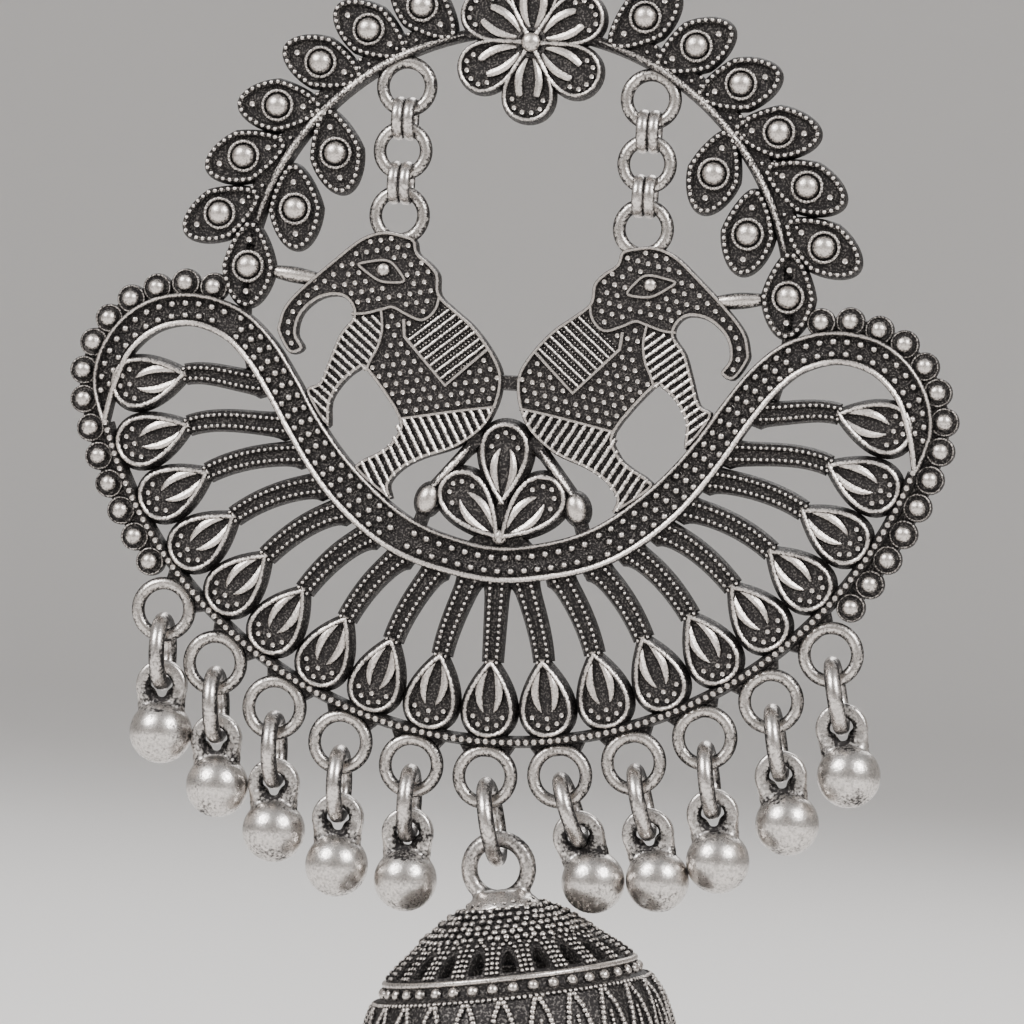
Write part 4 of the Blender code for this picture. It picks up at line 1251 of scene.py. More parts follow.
@dataclass
class Elephant:
    """One of the two elephants, drawn for the right half in shares of the crescent's radius.

    Attributes:
        trunk: the row of dots down the trunk.
        peg: the ends of the peg from the trunk to the wreath.
        bridge: half the length and the depth of the bar between the rumps.
        outline_wire: half the width of the outlines.
        dot: a dot's radius.
        dot_pitch: the distance between two dots of a row.
        dot_lean: the rows' slope, in degrees.
        stripe_pitch: the distances of the stripes on the saddle, the foreleg and the hind leg.
        stripe: the stripes' widths, in the same order.
    """

    body: Sequence[tuple[float, float]] = (
        (0.321, -0.169), (0.276, -0.165), (0.243, -0.153), (0.233, -0.123), (0.203, -0.100),
        (0.182, -0.074), (0.176, -0.030), (0.139, 0.003), (0.095, 0.037), (0.053, 0.085),
        (0.023, 0.135), (0.018, 0.175), (0.028, 0.224), (0.055, 0.275), (0.115, 0.323),
        (0.192, 0.353), (0.240, 0.382), (0.268, 0.419), (0.264, 0.452), (0.345, 0.392),
        (0.338, 0.369), (0.295, 0.344), (0.266, 0.317), (0.254, 0.265), (0.336, 0.158),
        (0.358, 0.157), (0.392, 0.188), (0.418, 0.235), (0.420, 0.295), (0.476, 0.215),
        (0.446, 0.190), (0.426, 0.132), (0.406, 0.075), (0.378, 0.036), (0.384, 0.006),
        (0.411, -0.013), (0.457, -0.005), (0.498, 0.032), (0.509, 0.080), (0.491, 0.114),
        (0.522, 0.127), (0.552, 0.083), (0.553, 0.058), (0.540, 0.016), (0.499, -0.033),
        (0.422, -0.106), (0.370, -0.150),
    )
    jaw: Sequence[tuple[float, float]] = (
        (0.381, 0.027), (0.348, 0.024), (0.309, 0.012), (0.285, 0.006), (0.256, 0.019),
        (0.221, 0.032), (0.200, 0.025), (0.183, 0.003), (0.177, -0.025),
    )
    shoulder: Sequence[tuple[float, float]] = (
        (0.312, 0.014), (0.307, 0.050), (0.308, 0.072), (0.315, 0.102), (0.330, 0.133), (0.338, 0.158),
    )
    thigh: Sequence[tuple[float, float]] = (
        (0.254, 0.265), (0.231, 0.261), (0.166, 0.248), (0.097, 0.235), (0.028, 0.224),
    )
    saddle: Sequence[tuple[float, float]] = (
        (0.253, 0.073), (0.150, 0.181), (0.053, 0.088), (0.081, 0.056), (0.139, 0.010),
        (0.176, -0.012), (0.204, 0.033),
    )
    eye: Sequence[tuple[float, float]] = (
        (0.372, -0.089), (0.350, -0.096), (0.317, -0.102), (0.296, -0.098), (0.278, -0.081),
        (0.262, -0.057), (0.289, -0.051), (0.318, -0.053), (0.340, -0.064), (0.359, -0.077),
    )
    pupil: tuple[float, float] = (0.314, -0.080)
    saddle_top: tuple[float, float] = (0.257, 0.033)
    trunk: Sequence[tuple[float, float]] = (
        (0.430, -0.062), (0.478, -0.020), (0.516, 0.022), (0.531, 0.066), (0.519, 0.104),
    )
    foreleg: Sequence[tuple[float, float]] = (
        (0.378, 0.036), (0.406, 0.075), (0.426, 0.132), (0.446, 0.190), (0.476, 0.215),
        (0.420, 0.295), (0.418, 0.235), (0.392, 0.188), (0.358, 0.157), (0.338, 0.158),
        (0.330, 0.133), (0.315, 0.102), (0.308, 0.072), (0.307, 0.050), (0.312, 0.025),
    )
    hind_leg: Sequence[tuple[float, float]] = (
        (0.254, 0.265), (0.166, 0.248), (0.028, 0.224), (0.055, 0.275), (0.115, 0.323),
        (0.192, 0.353), (0.240, 0.382), (0.268, 0.419), (0.264, 0.452), (0.345, 0.392),
        (0.338, 0.369), (0.295, 0.344), (0.266, 0.317),
    )
    peg: Sequence[tuple[float, float]] = ((0.470, -0.050), (0.572, -0.062))
    bridge: tuple[float, float] = (0.030, 0.165)
    outline_wire: float = 0.14
    dot: float = 0.205
    dot_pitch: float = 0.74
    dot_lean: float = -12.0
    stripe_pitch: tuple[float, float, float] = (0.58, 0.5, 0.56)
    stripe: tuple[float, float, float] = (0.25, 0.34, 0.38)

    def line(self, points: Sequence[tuple[float, float]]) -> Line:
        """Points of the plate from shares of the crescent's radius."""
        return [MOON.point(a, d) for a, d in points]

    @staticmethod
    def stripes(region: Line, direction: Vector, pitch: float, width: float) -> Shape:
        """Bright ridges of a width across a region, at a pitch."""
        ridges = hatch(region, direction, pitch, 0.05)
        return rods(ridges, width / 2, LEVELS.floor + 0.08, False, 1.4, crest(0.0, 1.15), 2)

    def dots(self, outline: Line) -> Line:
        """The dots' places: rows over the body and head, and one row down the trunk."""
        lines = [outline + outline[:1]]
        lines += [self.line(points) for points in (self.jaw, self.shoulder, self.thigh)]
        bare = (self.saddle, self.foreleg, self.hind_leg, self.eye)
        regions = [self.line(points) for points in bare]
        lines += [region + region[:1] for region in regions]
        trunk = smooth(self.line(self.trunk), 6)
        row = strung(trunk, self.dot_pitch)
        lean = math.radians(self.dot_lean)
        along = Vector((math.cos(lean), math.sin(lean))) * self.dot_pitch
        up = Vector((-along.y, along.x)) * 0.9
        start = MOON.point(0.02, 0.2)
        places = list(row)
        for i in range(-30, 40):
            for j in range(-10, 30):
                spot = start + along * (i + 0.5 * (j % 2)) + up * j
                if not encloses(outline, spot) or any(encloses(region, spot) for region in regions):
                    continue
                if any(distance_to(line, spot) < 0.33 for line in lines):
                    continue
                if distance_to(trunk, spot) < self.dot_pitch * 0.9:
                    continue
                places.append(spot)
        return places

    def build(self) -> None:
        """Build and dress both elephants."""
        outline = smooth(self.line(self.body), 4, True)
        beast = Relief("elephants")
        beast.add(slab(inset(outline, -0.05), LEVELS.under(3), LEVELS.floor, 0.14, 0.16))
        top = LEVELS.floor + 0.12
        beast.add(rods([inset(outline, 0.13)], self.outline_wire, top, True, 1.5, crest(0.0, 1.1)))
        inner = [smooth(self.line(points), 5) for points in (self.jaw, self.shoulder, self.thigh)]
        beast.add(rods(inner, self.outline_wire, top, False, 1.6, crest(0.0, 1.1)))
        saddle = self.line(self.saddle)
        border = [MOON.point(*self.saddle_top), *saddle[:3]]
        beast.add(rods([border], 0.18, top, False, 1.3, crest(0.0, 1.2)))
        weave = Vector((1.0, -0.85))
        beast.add(self.stripes(saddle, weave, self.stripe_pitch[0], self.stripe[0]))
        stitches = []
        for stroke in hatch(saddle, weave, self.stripe_pitch[0] / 2, 0.1)[::2]:
            stitches += strung(stroke, 0.26)
        beast.stud(dome(0.09, 0.12, 6, 5, crest(0.0, 0.8)), stitches, LEVELS.floor)
        legs = ((self.foreleg, Vector((-0.77, -0.62))), (self.hind_leg, Vector((-0.5, -0.87))))
        for (leg, slope), pitch, width in zip(legs, self.stripe_pitch[1:], self.stripe[1:]):
            beast.add(self.stripes(self.line(leg), slope, pitch, width))
        eye = smooth(self.line(self.eye), 4, True)
        beast.add(rods([eye], 0.13, top, True, 1.5, crest(0.0, 1.2)))
        beast.stud(dome(0.5, 0.4, 16, 8), [MOON.point(*self.pupil)], LEVELS.floor)
        beast.stud(pip(self.dot, 0.28), self.dots(outline), LEVELS.floor)
        peg = [a.lerp(b, t) for a, b in [self.line(self.peg)] for t in np.linspace(0.0, 1.0, 9)]
        taper = [0.75 + 0.25 * math.sin(math.pi * i / 8) for i in range(9)]
        beast.add(rods([peg], 0.58, LEVELS.middle, False, 1.15, crest(0.0, 0.9), 3, taper))
        beast.mirror()
        across, down = self.bridge
        half = 0.018
        bar = mirrored([MOON.point(across, down - half), MOON.point(across, down + half)])
        beast.add(slab(bar, LEVELS.back, LEVELS.floor, 0.1, 0.2))
        beast.cast(CAST)


@dataclass
class Trefoil:
    """Three petals on the band between the elephants, with a bud on each side.

    Attributes:
        foot: where the side petals start, down the crescent's radius.
        neck: where the upright petal starts.
        turn: the side petals' lean.
        layer: how far each petal stands before the last, where they overlap.
        bud: a bud's middle.
        stem_top: where a bud's bright stem starts.
        stem_root: how far the dark stem reaches past that, under the elephant.
        skirt: half the dark stem's width at its root, its top and its bud.
        web: the dark web from the foot to the band, its right half.
        bud_size: half a bud's width and length.
    """

    petal: Petal = field(default_factory=lambda: Petal(
        5.8, 3.5, 0.2,
        [(-0.52, 0.7), (-0.32, 0.82), (0.0, 0.87), (0.32, 0.82), (0.52, 0.7)],
        (0.1, 0.68), 0.17, 0.35, 1.0, 0.3,
    ))
    foot: float = 0.531
    neck: float = 0.452
    turn: float = math.radians(43)
    layer: float = 0.02
    bud: tuple[float, float] = (0.175, 0.448)
    bud_turn: float = math.radians(17)
    stem_top: tuple[float, float] = (0.082, 0.318)
    stem_root: float = 1.2
    skirt: tuple[float, float, float] = (0.8, 0.45, 0.42)
    web: Sequence[tuple[float, float]] = ((1.1, 0.9), (2.4, -0.35), (2.4, -0.75))
    bud_size: tuple[float, float] = (0.75, 1.08)

    def build(self) -> None:
        """Build and dress the trefoil."""
        trefoil = Relief("trefoil")
        foot = MOON.point(0.0, self.foot)
        neck = MOON.point(0.0, self.neck)
        places = [at(foot, self.turn, self.layer), at(foot, -self.turn), at(neck, 0.0, 2 * self.layer)]
        trefoil.add(self.petal.shape(), places)
        wide, tall = self.bud_size
        along = Vector((-math.sin(self.bud_turn), math.cos(self.bud_turn)))
        bud = MOON.point(*self.bud)
        side = Relief("bud")
        border = oval(wide + 0.25, tall + 0.25, 28)
        side.add(slab(border, LEVELS.under(2), LEVELS.floor, 0.2, 0.1), [at(bud, self.bud_turn)])
        place = at(bud, self.bud_turn, LEVELS.floor - 0.05) @ Matrix.Diagonal((wide, tall, 1.0, 1.0))
        side.add(dome(1.0, 0.7, 22, 12, crest(0.1)), [place])
        top = MOON.point(*self.stem_top)
        end = bud + along * tall * 0.8
        root = top + (top - end).normalized() * self.stem_root
        skirt = ribbon([root, top.lerp(end, 0.12), end], self.skirt)
        side.add(slab(skirt, LEVELS.under(4), LEVELS.floor, 0.22, 0.1))
        line = [top.lerp(end, t) for t in (0.0, 0.2, 0.4, 0.6, 0.8, 1.0)]
        taper = [0.5, 0.9, 1.05, 1.1, 1.0, 0.75]
        side.add(rods([line], 0.27, LEVELS.floor, False, 1.3, crest(0.0, 0.8), 2, taper))
        stub = strip([bud - along * tall * 0.9, bud - along * tall * 2.2], 0.5, 0.5)
        side.add(slab(stub, LEVELS.under(5), LEVELS.floor, 0.15, 0.1))
        trefoil.add(side.whole(), [HERE, MIRROR])
        stalk = strip([foot + UP * 0.2, neck + UP * 0.9], 0.45, 0.45)
        trefoil.add(slab(stalk, LEVELS.back, LEVELS.floor, 0.1, 0.1))
        web = mirrored([foot + Vector(corner) for corner in self.web])
        trefoil.add(slab(web, LEVELS.under(3), LEVELS.floor - 0.1, 0.15, 0.06))
        trefoil.stud(dome(0.6, 0.5, 16, 8), [foot + UP * 0.2], LEVELS.floor)
        trefoil.cast(CAST)


@dataclass
class Chain:
    """The two short chains between the stem and the elephants' heads.

    Attributes:
        foot: where the right chain ends on the head, in shares of the crescent's radius.
        solder: how far the upper end ring sinks into the stem.
        head_lap: how far the lower end ring lies over the head.
        end_share: an end ring's outer radius, as a share of the pitch between two rings.
        middle_share: the middle ring's outer radius, as the same share.
        wire: half the rings' wire.
        link_wire: half the links' wire, and link_tall its width for that.
    """

    foot: tuple[float, float] = (0.287, -0.165)
    solder: float = 0.1
    head_lap: float = 0.8
    end_share: float = 0.955
    middle_share: float = 0.93
    wire: float = 0.45
    link_wire: float = 0.26
    link_tall: float = 1.5

    def build(self, wreath: Wreath) -> None:
        """Build and dress both chains."""
        foot = MOON.point(*self.foot)
        centre, radius = wreath.circle()
        stem = centre.y + math.sqrt(radius ** 2 - foot.x ** 2) - 0.3
        pitch = (stem - foot.y + self.solder + self.head_lap) / (1 + self.end_share / 2) / 4
        end = self.end_share * pitch
        top = stem + self.solder - end
        level = LEVELS.middle + 0.1
        ends = Relief("chain_ends")
        shape = ring(end - self.wire, self.wire, 44, crest(0.0, 0.72), 14)
        ends.stud(shape, [Vector((foot.x, top))], level)
        ends.stud(shape, [Vector((foot.x, top - 4 * pitch))], LEVELS.floor - 0.1 - self.wire)
        ends.mirror()
        ends.cast(WIRE)
        middle = self.middle_share * pitch
        outer = pitch + 2 * self.wire + 2 * self.link_wire - end
        link = ring(outer - self.link_wire, self.link_wire, 36, sideways(0.66), 14, self.link_tall)
        facing = ring(middle - self.wire, self.wire, 44, crest(0.0, 0.72), 14)
        for hand, side in ((-1, "left"), (1, "right")):
            number = 0
            for step in (1, 3):
                for shift in (-self.link_wire, self.link_wire):
                    number += 1
                    apart = shift * self.link_tall * 1.03
                    spot = Vector((hand * foot.x + apart, top - step * pitch))
                    piece = Relief(f"silver_link_{side}_{number}")
                    piece.add(link, [at(spot, 0.0, level) @ EDGEWISE])
                    piece.piece(RING, Slot.WIRE.value, "root", [f"chain_link_{side}_{number}"])
            spot = Vector((hand * foot.x, top - 2 * pitch))
            piece = Relief(f"silver_ring_{side}")
            piece.stud(facing, [spot], level)
            piece.piece(WIRE, Slot.WIRE.value, "root", [f"chain_ring_{side}"])


def shaped(shape: Shape) -> bpy.types.Object:
    """A bare object with a shape, for a modifier to work on."""
    mesh = bpy.data.meshes.new("blank")
    shape.fill(mesh)
    holder = bpy.data.objects.new("blank", mesh)
    bpy.context.scene.collection.objects.link(holder)
    return holder


def changed(*holders: bpy.types.Object) -> bmesh.types.BMesh:
    """The first object's mesh after its modifiers; all the objects are removed."""
    depsgraph = bpy.context.evaluated_depsgraph_get()
    mesh = bpy.data.meshes.new_from_object(holders[0].evaluated_get(depsgraph))
    bm = bmesh.new()
    bm.from_mesh(mesh)
    bpy.data.meshes.remove(mesh)
    for holder in holders:
        bpy.data.objects.remove(holder)
    return bm


def fused(shape: Shape, grain: float, rounds: int) -> Shape:
    """A shape whose parts are melted into one another, as in a casting.

    Args:
        shape: closed parts that overlap.
        grain: the size of the mesh that takes their place.
        rounds: how often that mesh is smoothed.

    Returns:
        One closed shape, evenly worn.
    """
    holder = shaped(shape)
    melt = holder.modifiers.new("melt", "REMESH")
    melt.mode = "VOXEL"
    melt.voxel_size = grain
    bm = changed(holder)
    for _ in range(rounds):
        bmesh.ops.smooth_vert(
            bm, verts=bm.verts, factor=0.5, use_axis_x=True, use_axis_y=True, use_axis_z=True
        )
    return Shape.of(bm, even(0.8))


def pierced(shape: Shape, cutters: Shape) -> Shape:
    """A shape with holes where the cutters are."""
    holder = shaped(shape)
    tool = shaped(cutters)
    cut = holder.modifiers.new("cut", "BOOLEAN")
    cut.operation = "DIFFERENCE"
    cut.solver = "EXACT"
    cut.object = tool
    return Shape.of(changed(holder, tool), even(0.12))


@dataclass
class Drops:
    """The jump rings and the round drops that hang in the loops.

    Attributes:
        leans: how far each drop leans from plumb, in degrees, from left to right.
        bead: a bead's radius, and bail_to_bead its distance from the bail's hole.
        bail_hole: the radius of the bail's hole, and bail_wire half the bail's width.
        lug: half the bail's thickness.
        chamfer: the bail's broken edges, round its hole and outside.
        cheeks: the lumps of metal that melt the bail into the bead.
        play: how much of the clearance each drop's rings keep.
    """

    leans: Sequence[float] = (2.3, 4.7, 3.3, 1.9, 0.8, 12.6, 21.4, 15.2, 9.7, 11.2, 12.1)
    ring_hole: float = 1.65
    ring_wire: float = 0.55
    bead: float = 2.2
    bail_hole: float = 0.825
    bail_wire: float = 0.49
    lug: float = 0.52
    chamfer: tuple[float, float] = (0.1, 0.14)
    cheeks: Sequence[tuple[float, float]] = (
        (-1.02, -0.75), (1.02, -0.75), (-0.98, -1.35), (0.98, -1.35), (0.0, -1.62),
    )
    bail_to_bead: float = 3.25
    clearance: float = 0.25
    play: Sequence[float] = (0.4, 0.4, 0.4, 0.4, 1.6, 1.0, 2.2, 1.0, 0.4, 0.6, 0.7)

    def hang(self, edge: Edge, n: int) -> Matrix:
        """The frame of what hangs in a loop: -Y points the way it hangs."""
        return at(edge.loop_place(n), math.radians(self.leans[n]), LEVELS.middle)

    def drop(self) -> Shape:
        """A drop about its bail's hole."""
        motif = Relief("drop")
        inner = self.bail_hole
        outer = inner + 2 * self.bail_wire
        half = self.lug
        near, far = self.chamfer
        front = [(inner, half - near), (inner + near, half), (outer - far, half), (outer, half - far)]
        profile = [(radius, -height) for radius, height in front] + front[::-1]
        profile.append(profile[0])
        lay = Matrix.Rotation(math.pi / 2, 4, "X")
        motif.add(turned([Vector(p) for p in profile], 40, even(1.0)), [lay])
        motif.stud(dome(self.bead, self.bead, 32, 20), [Vector((0.0, -self.bail_to_bead))], 0.0)
        cheek = dome(0.74, self.lug + 0.12, 16, 10)
        motif.stud(cheek, [Vector(spot) for spot in self.cheeks], 0.0)
        shape = fused(motif.whole(), 0.11, 3)
        heights = shape.points[:, 1] + self.bail_to_bead
        around = np.linalg.norm(shape.points + [0.0, self.bail_to_bead, 0.0], axis=1)
        hollow = np.exp(-((around - self.bead * 1.06) / 0.4) ** 2) * (heights > self.bead * 0.66)
        # Painted shade: the bead's colour grows darker over its lower half, most at the bottom.
        low = np.clip((-heights - 0.6) / 2.4, 0.0, 1.0)
        eye = np.exp(-((np.linalg.norm(shape.points[:, :2], axis=1) - self.bail_hole) / 0.25) ** 2)
        above = np.clip((heights - self.bead * 0.8) / 1.2, 0.0, 1.0)
        # Oxide in the hollows at the bail's neck and round its hole, a darker lug and bead top, and
        # painted shade on the lower half.
        shape.wear_and_shade = 0.8 - 0.35 * hollow - 0.36 * low - 0.6 * eye - 0.18 * above
        return shape

    def build(self, edge: Edge) -> None:
        """Build and dress the rings and the drops."""
        shape = ring(self.ring_hole + self.ring_wire, self.ring_wire, 44, sideways(0.68), 16)
        drop = self.drop()
        for n in range(edge.loops):
            if n == edge.loops // 2:
                continue
            gap = self.play[n] * self.clearance
            down = edge.hole + self.ring_hole - gap
            hang = self.hang(edge, n)
            piece = Relief(f"silver_jump_ring_{n + 1}")
            piece.add(shape, [hang @ Matrix.Translation((0.0, -down, 0.0)) @ EDGEWISE])
            piece.piece(RING, Slot.WIRE.value, "root", [f"jump_ring_{n + 1}"])
            low = down + self.ring_hole + self.bail_hole - gap
            piece = Relief(f"silver_drop_{n + 1}")
            piece.add(drop, [hang @ Matrix.Translation((0.0, -low, 0.0))])
            piece.piece(BEAD, Slot.BEAD.value, "root", [f"drop_{n + 1}"])


@dataclass
class Jhumki:
    """The hollow bell under the middle loop, with its ring.

    Attributes:
        lean: how far the bell leans from plumb.
        profile: its outer wall, as radius and depth under the crown.
        hole: a hole's outline, across and down the wall.
        cap_rows: the cap's rows of granules: first and last depth, step and pitch.
        jitter: how far a granule of the cap may be off its place, round, down and out.
        arch: half the arch over a hole, as shares of the holes' spacing and depths.
        post: the depths of the post between two holes.
        lancet: half a roped lancet, as shares of the lancets' spacing and depths.
        spine: the depths of a lancet's middle line.
        hoops: the depths of the hoops at the mouth.
        bead_rows: the depths of the rows of beads between them.
        collar: the foot of the loop on the crown, as radius and height.
    """

    ring_hole: float = 2.05
    ring_wire: float = 0.55
    lean: float = math.radians(10.1)
    loop_hole: float = 1.45
    loop_wire: float = 0.6
    loop_to_cap: float = 2.0
    wall: float = 0.75
    holes: int = 22
    hole_depth: float = 3.9
    rim_depth: float = 5.05
    bead_depth: float = 5.7
    strands: int = 25
    cap_rows: tuple[float, float, float, float] = (0.45, 2.75, 0.35, 0.62)
    jitter: Sequence[tuple[float, float]] = ((-0.09, 0.09), (-0.07, 0.07), (-0.04, 0.1))
    arch: Sequence[tuple[float, float]] = ((0.0, 2.7), (0.27, 3.15), (0.34, 3.8), (0.36, 4.95))
    post: tuple[float, float] = (2.85, 4.95)
    lancet: Sequence[tuple[float, float]] = ((0.07, 6.6), (0.2, 7.4), (0.34, 9.0), (0.38, 11.3))
    spine: tuple[float, float] = (8.0, 11.3)
    hoops: Sequence[float] = (11.6, 13.3, 15.2)
    bead_rows: Sequence[float] = (12.45, 14.25)
    collar: Sequence[tuple[float, float]] = (
        (0.0, 0.55), (1.5, 0.5), (1.9, 0.2), (2.35, -0.2), (2.75, -0.7), (0.0, -0.8),
    )
    profile: Sequence[tuple[float, float]] = (
        (0.0, 0.0), (2.4, 0.5), (4.3, 1.5), (6.1, 2.8), (7.9, 4.2), (8.6, 4.9), (8.72, 5.3),
        (8.8, 5.8), (9.45, 6.25), (9.8, 6.8), (10.4, 8.2), (11.0, 11.8), (11.0, 13.5), (10.9, 15.5),
    )
    hole: Sequence[tuple[float, float]] = (
        (0.0, -1.0), (0.3, -0.6), (0.5, 0.0), (0.5, 0.68), (0.4, 1.1), (-0.4, 1.1),
        (-0.5, 0.68), (-0.5, 0.0), (-0.3, -0.6),
    )

    def wall_line(self) -> Line:
        """The outer wall's section, from the crown to the mouth."""
        return smooth([Vector((radius, -depth)) for radius, depth in self.profile], 5)

    def on_wall(self, depth: float, angle: float, out: float) -> Matrix:
        """A place on the wall, with the way out of it as its Z axis."""
        line = self.wall_line()
        for a, b in zip(line, line[1:]):
            if b.y <= -depth <= a.y:
                share = (-depth - a.y) / (b.y - a.y)
                spot = a.lerp(b, share)
                break
        along = (b - a).normalized()
        normal = Vector((-along.y, along.x))
        spot = spot + normal * out
        turn = Matrix.Rotation(angle, 4, "Y")
        return turn @ Matrix((
            (0.0, along.x, normal.x, spot.x), (0.0, along.y, normal.y, spot.y), (1.0, 0.0, 0.0, 0.0),
            (0.0, 0.0, 0.0, 1.0),
        ))

    def row(self, depth: float, pitch: float, shift: float = 0.0) -> list[Matrix]:
        """Places at an even pitch round the wall."""
        radius = self.on_wall(depth, 0.0, 0.0).translation.x
        count = max(round(math.tau * radius / pitch), 6)
        return [self.on_wall(depth, math.tau * (i + shift) / count, 0.0) for i in range(count)]

    def strand(self, points: Sequence[tuple[float, float]], pitch: float) -> list[Matrix]:
        """Places along a line on the wall, whose points are angle and depth."""
        spots = []
        for (a0, d0), (a1, d1) in zip(points, points[1:]):
            radius = self.on_wall((d0 + d1) / 2, 0.0, 0.0).translation.x
            length = math.hypot((a1 - a0) * radius, d1 - d0)
            count = max(round(length / pitch), 1)
            for i in range(count):
                t = i / count
                spots.append(self.on_wall(d0 + (d1 - d0) * t, a0 + (a1 - a0) * t, 0.0))
        return spots

    def build(self, edge: Edge, drops: Drops) -> None:
        """Build and dress the bell and its ring."""
        middle = edge.loops // 2
        hang = drops.hang(edge, middle)
        down = edge.hole + self.ring_hole - drops.clearance
        centre = hang @ Matrix.Translation((0.0, -down, 0.0))
        piece = Relief("silver_jhumki_ring")
        shape = ring(self.ring_hole + self.ring_wire, self.ring_wire, 48, sideways(0.66), 16)
        piece.add(shape, [centre @ EDGEWISE])
        piece.piece(RING, Slot.WIRE.value, "jhumki_ring", ["jhumki_ring"])
        hinge = centre @ Vector((0.0, -self.ring_hole - self.ring_wire, 0.0))
        loop_down = self.loop_hole - drops.clearance - self.ring_wire
        bell = Matrix.Translation(hinge) @ Matrix.Rotation(self.lean, 4, "Z")
        crown = bell @ Matrix.Translation((0.0, -loop_down - self.loop_to_cap, 0.0))
        self.dress(crown)

    def shell(self) -> Shape:
        """The hollow wall, pierced by its ring of holes."""
        outer = self.wall_line()
        inner = [p for p in beside(outer, -self.wall) if p.x > 0.6]
        inner[-1].y = outer[-1].y
        profile = outer + inner[::-1] + [Vector((0.0, inner[0].y))]
        shell = turned(profile, 132, even(0.0))
        outline = smooth([Vector(p) for p in self.hole], 3, True)
        cutter = slab(outline, -3.0 * self.wall, 2.0 * self.wall)
        step = math.tau / self.holes
        places = [self.on_wall(self.hole_depth, step * k, 0.0) for k in range(self.holes)]
        return pierced(shell, Shape.joined([cutter.moved(place) for place in places]))

    def cap(self, bell: Relief) -> None:
        """Granulate the cap, with an arch over each of its holes and a post between two."""
        grain = dome(0.28, 0.28, 8, 5, crest(0.05))
        fine = dome(0.2, 0.22, 7, 5, crest(0.05))
        scatter = random.Random(self.holes)
        depth, last, drop, pitch = self.cap_rows
        shift = 0.0
        while depth < last:
            for place in self.row(depth, pitch, shift):
                nudge = [scatter.uniform(*limits) for limits in self.jitter]
                bell.add(grain, [place @ Matrix.Translation(nudge)])
            depth += drop
            shift = 0.5 - shift
        step = math.tau / self.holes
        for k in range(self.holes):
            middle = step * k
            for hand in (-1, 1):
                arch = [(middle + hand * share * step, low) for share, low in self.arch]
                bell.add(fine, self.strand(arch, 0.29))
            bell.add(fine, self.strand([(middle + 0.5 * step, low) for low in self.post], 0.31))

    def skirt(self, bell: Relief) -> None:
        """Lay the hoops, the rows of beads and the roped lancets round the wall."""
        fine = dome(0.2, 0.22, 7, 5, crest(0.05))
        rope = dome(0.26, 0.3, 8, 5, crest(0.05))
        self.hoop(bell, self.rim_depth, 0.22)
        bell.add(dome(0.45, 0.45, 14, 9, crest(0.25)), self.row(self.bead_depth, 1.38))
        bell.add(fine, self.row(6.35, 0.4))
        step = math.tau / self.strands
        for k in range(self.strands):
            middle = step * k
            for hand in (-1, 1):
                lancet = [(middle + hand * share * step, low) for share, low in self.lancet]
                bell.add(rope, self.strand(lancet, 0.3))
            bell.add(fine, self.strand([(middle, low) for low in self.spine], 0.3))
        for depth in self.hoops:
            self.hoop(bell, depth, 0.24)
        for depth in self.bead_rows:
            bell.add(dome(0.45, 0.45, 12, 8, crest(0.25)), self.row(depth, 1.2))

    def loop(self) -> Shape:
        """The loop on the crown with its foot, worn on its front and its back."""
        hanger = Relief("loop")
        wire = ring(self.loop_hole + self.loop_wire, self.loop_wire, 36)
        hanger.stud(wire, [Vector((0.0, self.loop_to_cap))], 0.0)
        hanger.add(turned([Vector(p) for p in self.collar], 40, even(0.5)))
        loop = fused(hanger.whole(), 0.16, 3)
        outward = np.abs(loop.points[:, 2]) / self.loop_wire
        loop.wear_and_shade = 0.28 + 0.3 * np.clip(outward, 0.0, 1.0) ** 2
        return loop

    def dress(self, crown: Matrix) -> None:
        """Build the bell and its loop below the crown's frame."""
        bell = Relief("bell")
        bell.add(self.shell())
        self.cap(bell)
        self.skirt(bell)
        dressed = (("silver_jhumki", bell.whole(), BELL), ("silver_bell_loop", self.loop(), RING))
        for name, shape, finish in dressed:
            piece = Relief(name)
            piece.add(shape, [crown])
            piece.piece(finish, Slot.BELL.value, "jhumki", ["jhumki"])

    def hoop(self, bell: Relief, depth: float, wire: float) -> None:
        """Lay a round wire about the wall at a depth."""
        spot = self.on_wall(depth, 0.0, 0.0).translation
        lay = Matrix.Translation((0.0, spot.y, 0.0)) @ Matrix.Rotation(math.pi / 2, 4, "X")
        bell.add(ring(spot.x, wire, 132, even(0.75), 10), [lay])


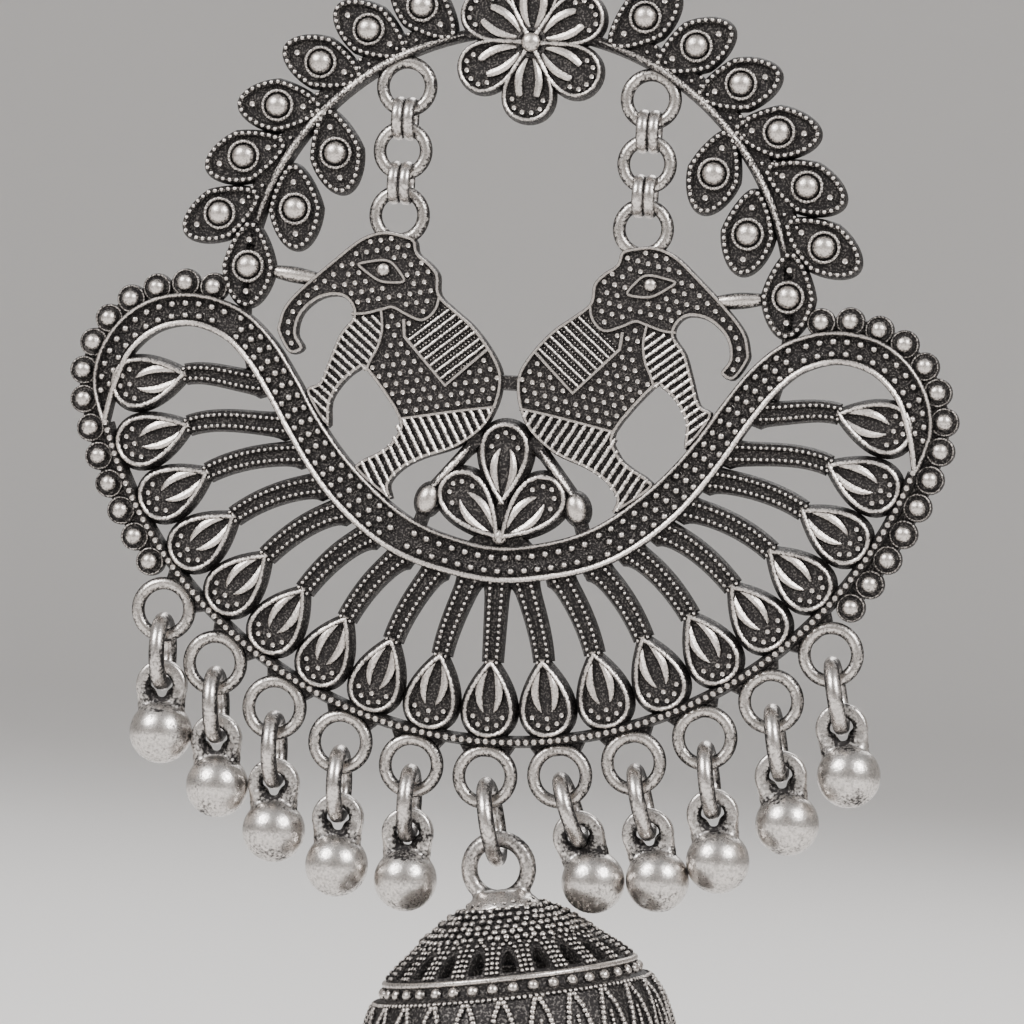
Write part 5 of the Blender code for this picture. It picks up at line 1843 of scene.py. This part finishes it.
@dataclass
class Studio:
    """The plain pale floor, the soft lights and the camera at the photo's angle.

    Attributes:
        aim: the point of the plate at the middle of the frame, across and up, in millimetres.
        azimuth: how far the camera stands to the right, in degrees.
        elevation: how far it looks down, in degrees.
        roll: how far it is rolled, in degrees.
        distance: how far the camera stands from the plate, in metres.
        view: the width of the frame at the plate, in millimetres.
        floor: the floor's height, and reach its radius, in metres.
        lamps: the lights' names, places and sizes in metres, and powers in watts.
    """

    aim: tuple[float, float] = (0.78, -32.4)
    azimuth: float = 8.0
    elevation: float = 0.0
    roll: float = 3.7
    distance: float = 0.35
    view: float = 70.6
    floor: float = -0.11
    reach: float = 2.4
    lamps: Sequence[tuple[str, tuple[float, float, float], float, float]] = (
        ("softbox_left", (-0.42, -0.42, 0.42), 0.34, 7.0),
        ("softbox_right", (0.45, -0.36, 0.38), 0.3, 6.0),
        ("rim_light", (0.1, 0.6, 0.5), 0.5, 3.0),
    )

    def stage(self) -> None:
        """A floor that curves up all round, far behind the camera."""
        bm = bmesh.new()
        profile = [(0.0, 0.0), (0.5, 0.0), (1.6, 0.0)]
        turns = np.linspace(0.2, math.pi / 2, 8)
        profile += [(1.6 + 0.8 * math.sin(a), 0.8 - 0.8 * math.cos(a)) for a in turns]
        profile.append((self.reach, 2.2))
        spin(bm, section(bm, [(x, 0.0, self.floor + z) for x, z in profile]), UPRIGHT, 64)
        bmesh.ops.remove_doubles(bm, verts=bm.verts, dist=1e-5)
        bmesh.ops.recalc_face_normals(bm, faces=bm.faces)
        bmesh.ops.reverse_faces(bm, faces=bm.faces)
        mesh = bpy.data.meshes.new("studio_floor")
        bm.to_mesh(mesh)
        bm.free()
        mesh.shade_smooth()
        material = bpy.data.materials.new("studio_floor")
        graph = Graph(material)
        graph.feed(graph.shader.inputs["Base Color"], (0.86, 0.84, 0.82, 1.0))
        graph.feed(graph.shader.inputs["Roughness"], 0.9)
        mesh.materials.append(material)
        floor = bpy.data.objects.new("studio_floor", mesh)
        bpy.context.scene.collection.objects.link(floor)

    def softbox(self, name: str, place: Vector, size: float, power: float) -> None:
        """A square light that looks at the plate's middle."""
        light = bpy.data.lights.new(name, "AREA")
        light.shape = "SQUARE"
        light.size = size
        light.energy = power
        obj = bpy.data.objects.new(name, light)
        obj.location = place
        look = Vector((0.0, 0.0, -0.03)) - place
        obj.rotation_euler = look.to_track_quat("-Z", "Y").to_euler()
        bpy.context.scene.collection.objects.link(obj)

    def light(self) -> None:
        """Two softboxes above the camera, one behind the earring, and a pale world."""
        for name, place, size, power in self.lamps:
            self.softbox(name, Vector(place), size, power)
        world = bpy.data.worlds.new("studio_world")
        world.use_nodes = True
        background = world.node_tree.nodes["Background"]
        background.inputs["Color"].default_value = (0.95, 0.95, 0.96, 1.0)
        background.inputs["Strength"].default_value = 0.5
        bpy.context.scene.world = world

    def camera(self) -> None:
        """The camera, at the photo's viewing angle."""
        data = bpy.data.cameras.new("camera")
        data.sensor_fit = "HORIZONTAL"
        data.angle = 2 * math.atan(self.view * MILLIMETRE / 2 / self.distance)
        data.clip_start = 0.01
        obj = bpy.data.objects.new("camera", data)
        across, up = self.aim
        centre = Vector((across * MILLIMETRE, -LEVELS.face * MILLIMETRE, up * MILLIMETRE))
        turn = Matrix.Rotation(math.radians(self.azimuth), 4, "Z")
        tilt = Matrix.Rotation(math.radians(-self.elevation), 4, "X")
        away = turn @ tilt @ Vector((0.0, -self.distance, 0.0))
        stand = turn @ Matrix.Rotation(math.pi / 2 - math.radians(self.elevation), 4, "X")
        stand = stand @ Matrix.Rotation(math.radians(self.roll), 4, "Z")
        obj.matrix_world = Matrix.Translation(centre + away) @ stand
        bpy.context.scene.collection.objects.link(obj)
        bpy.context.scene.camera = obj

    def build(self) -> None:
        """Set the stage, the lights and the camera."""
        self.camera()
        self.stage()
        self.light()


def main() -> None:
    """Dress the whole earring."""
    logging.basicConfig(level=logging.INFO, format="%(name)s %(message)s")
    Studio().build()
    band = Band()
    edge = Edge()
    wreath = Wreath()
    drops = Drops()
    Flower().build()
    wreath.build()
    band.build()
    Fan().build(band)
    edge.build(band)
    Elephant().build()
    Trefoil().build()
    Chain().build(wreath)
    drops.build(edge)
    Jhumki().build(edge, drops)


if __name__ == "__main__":
    main()
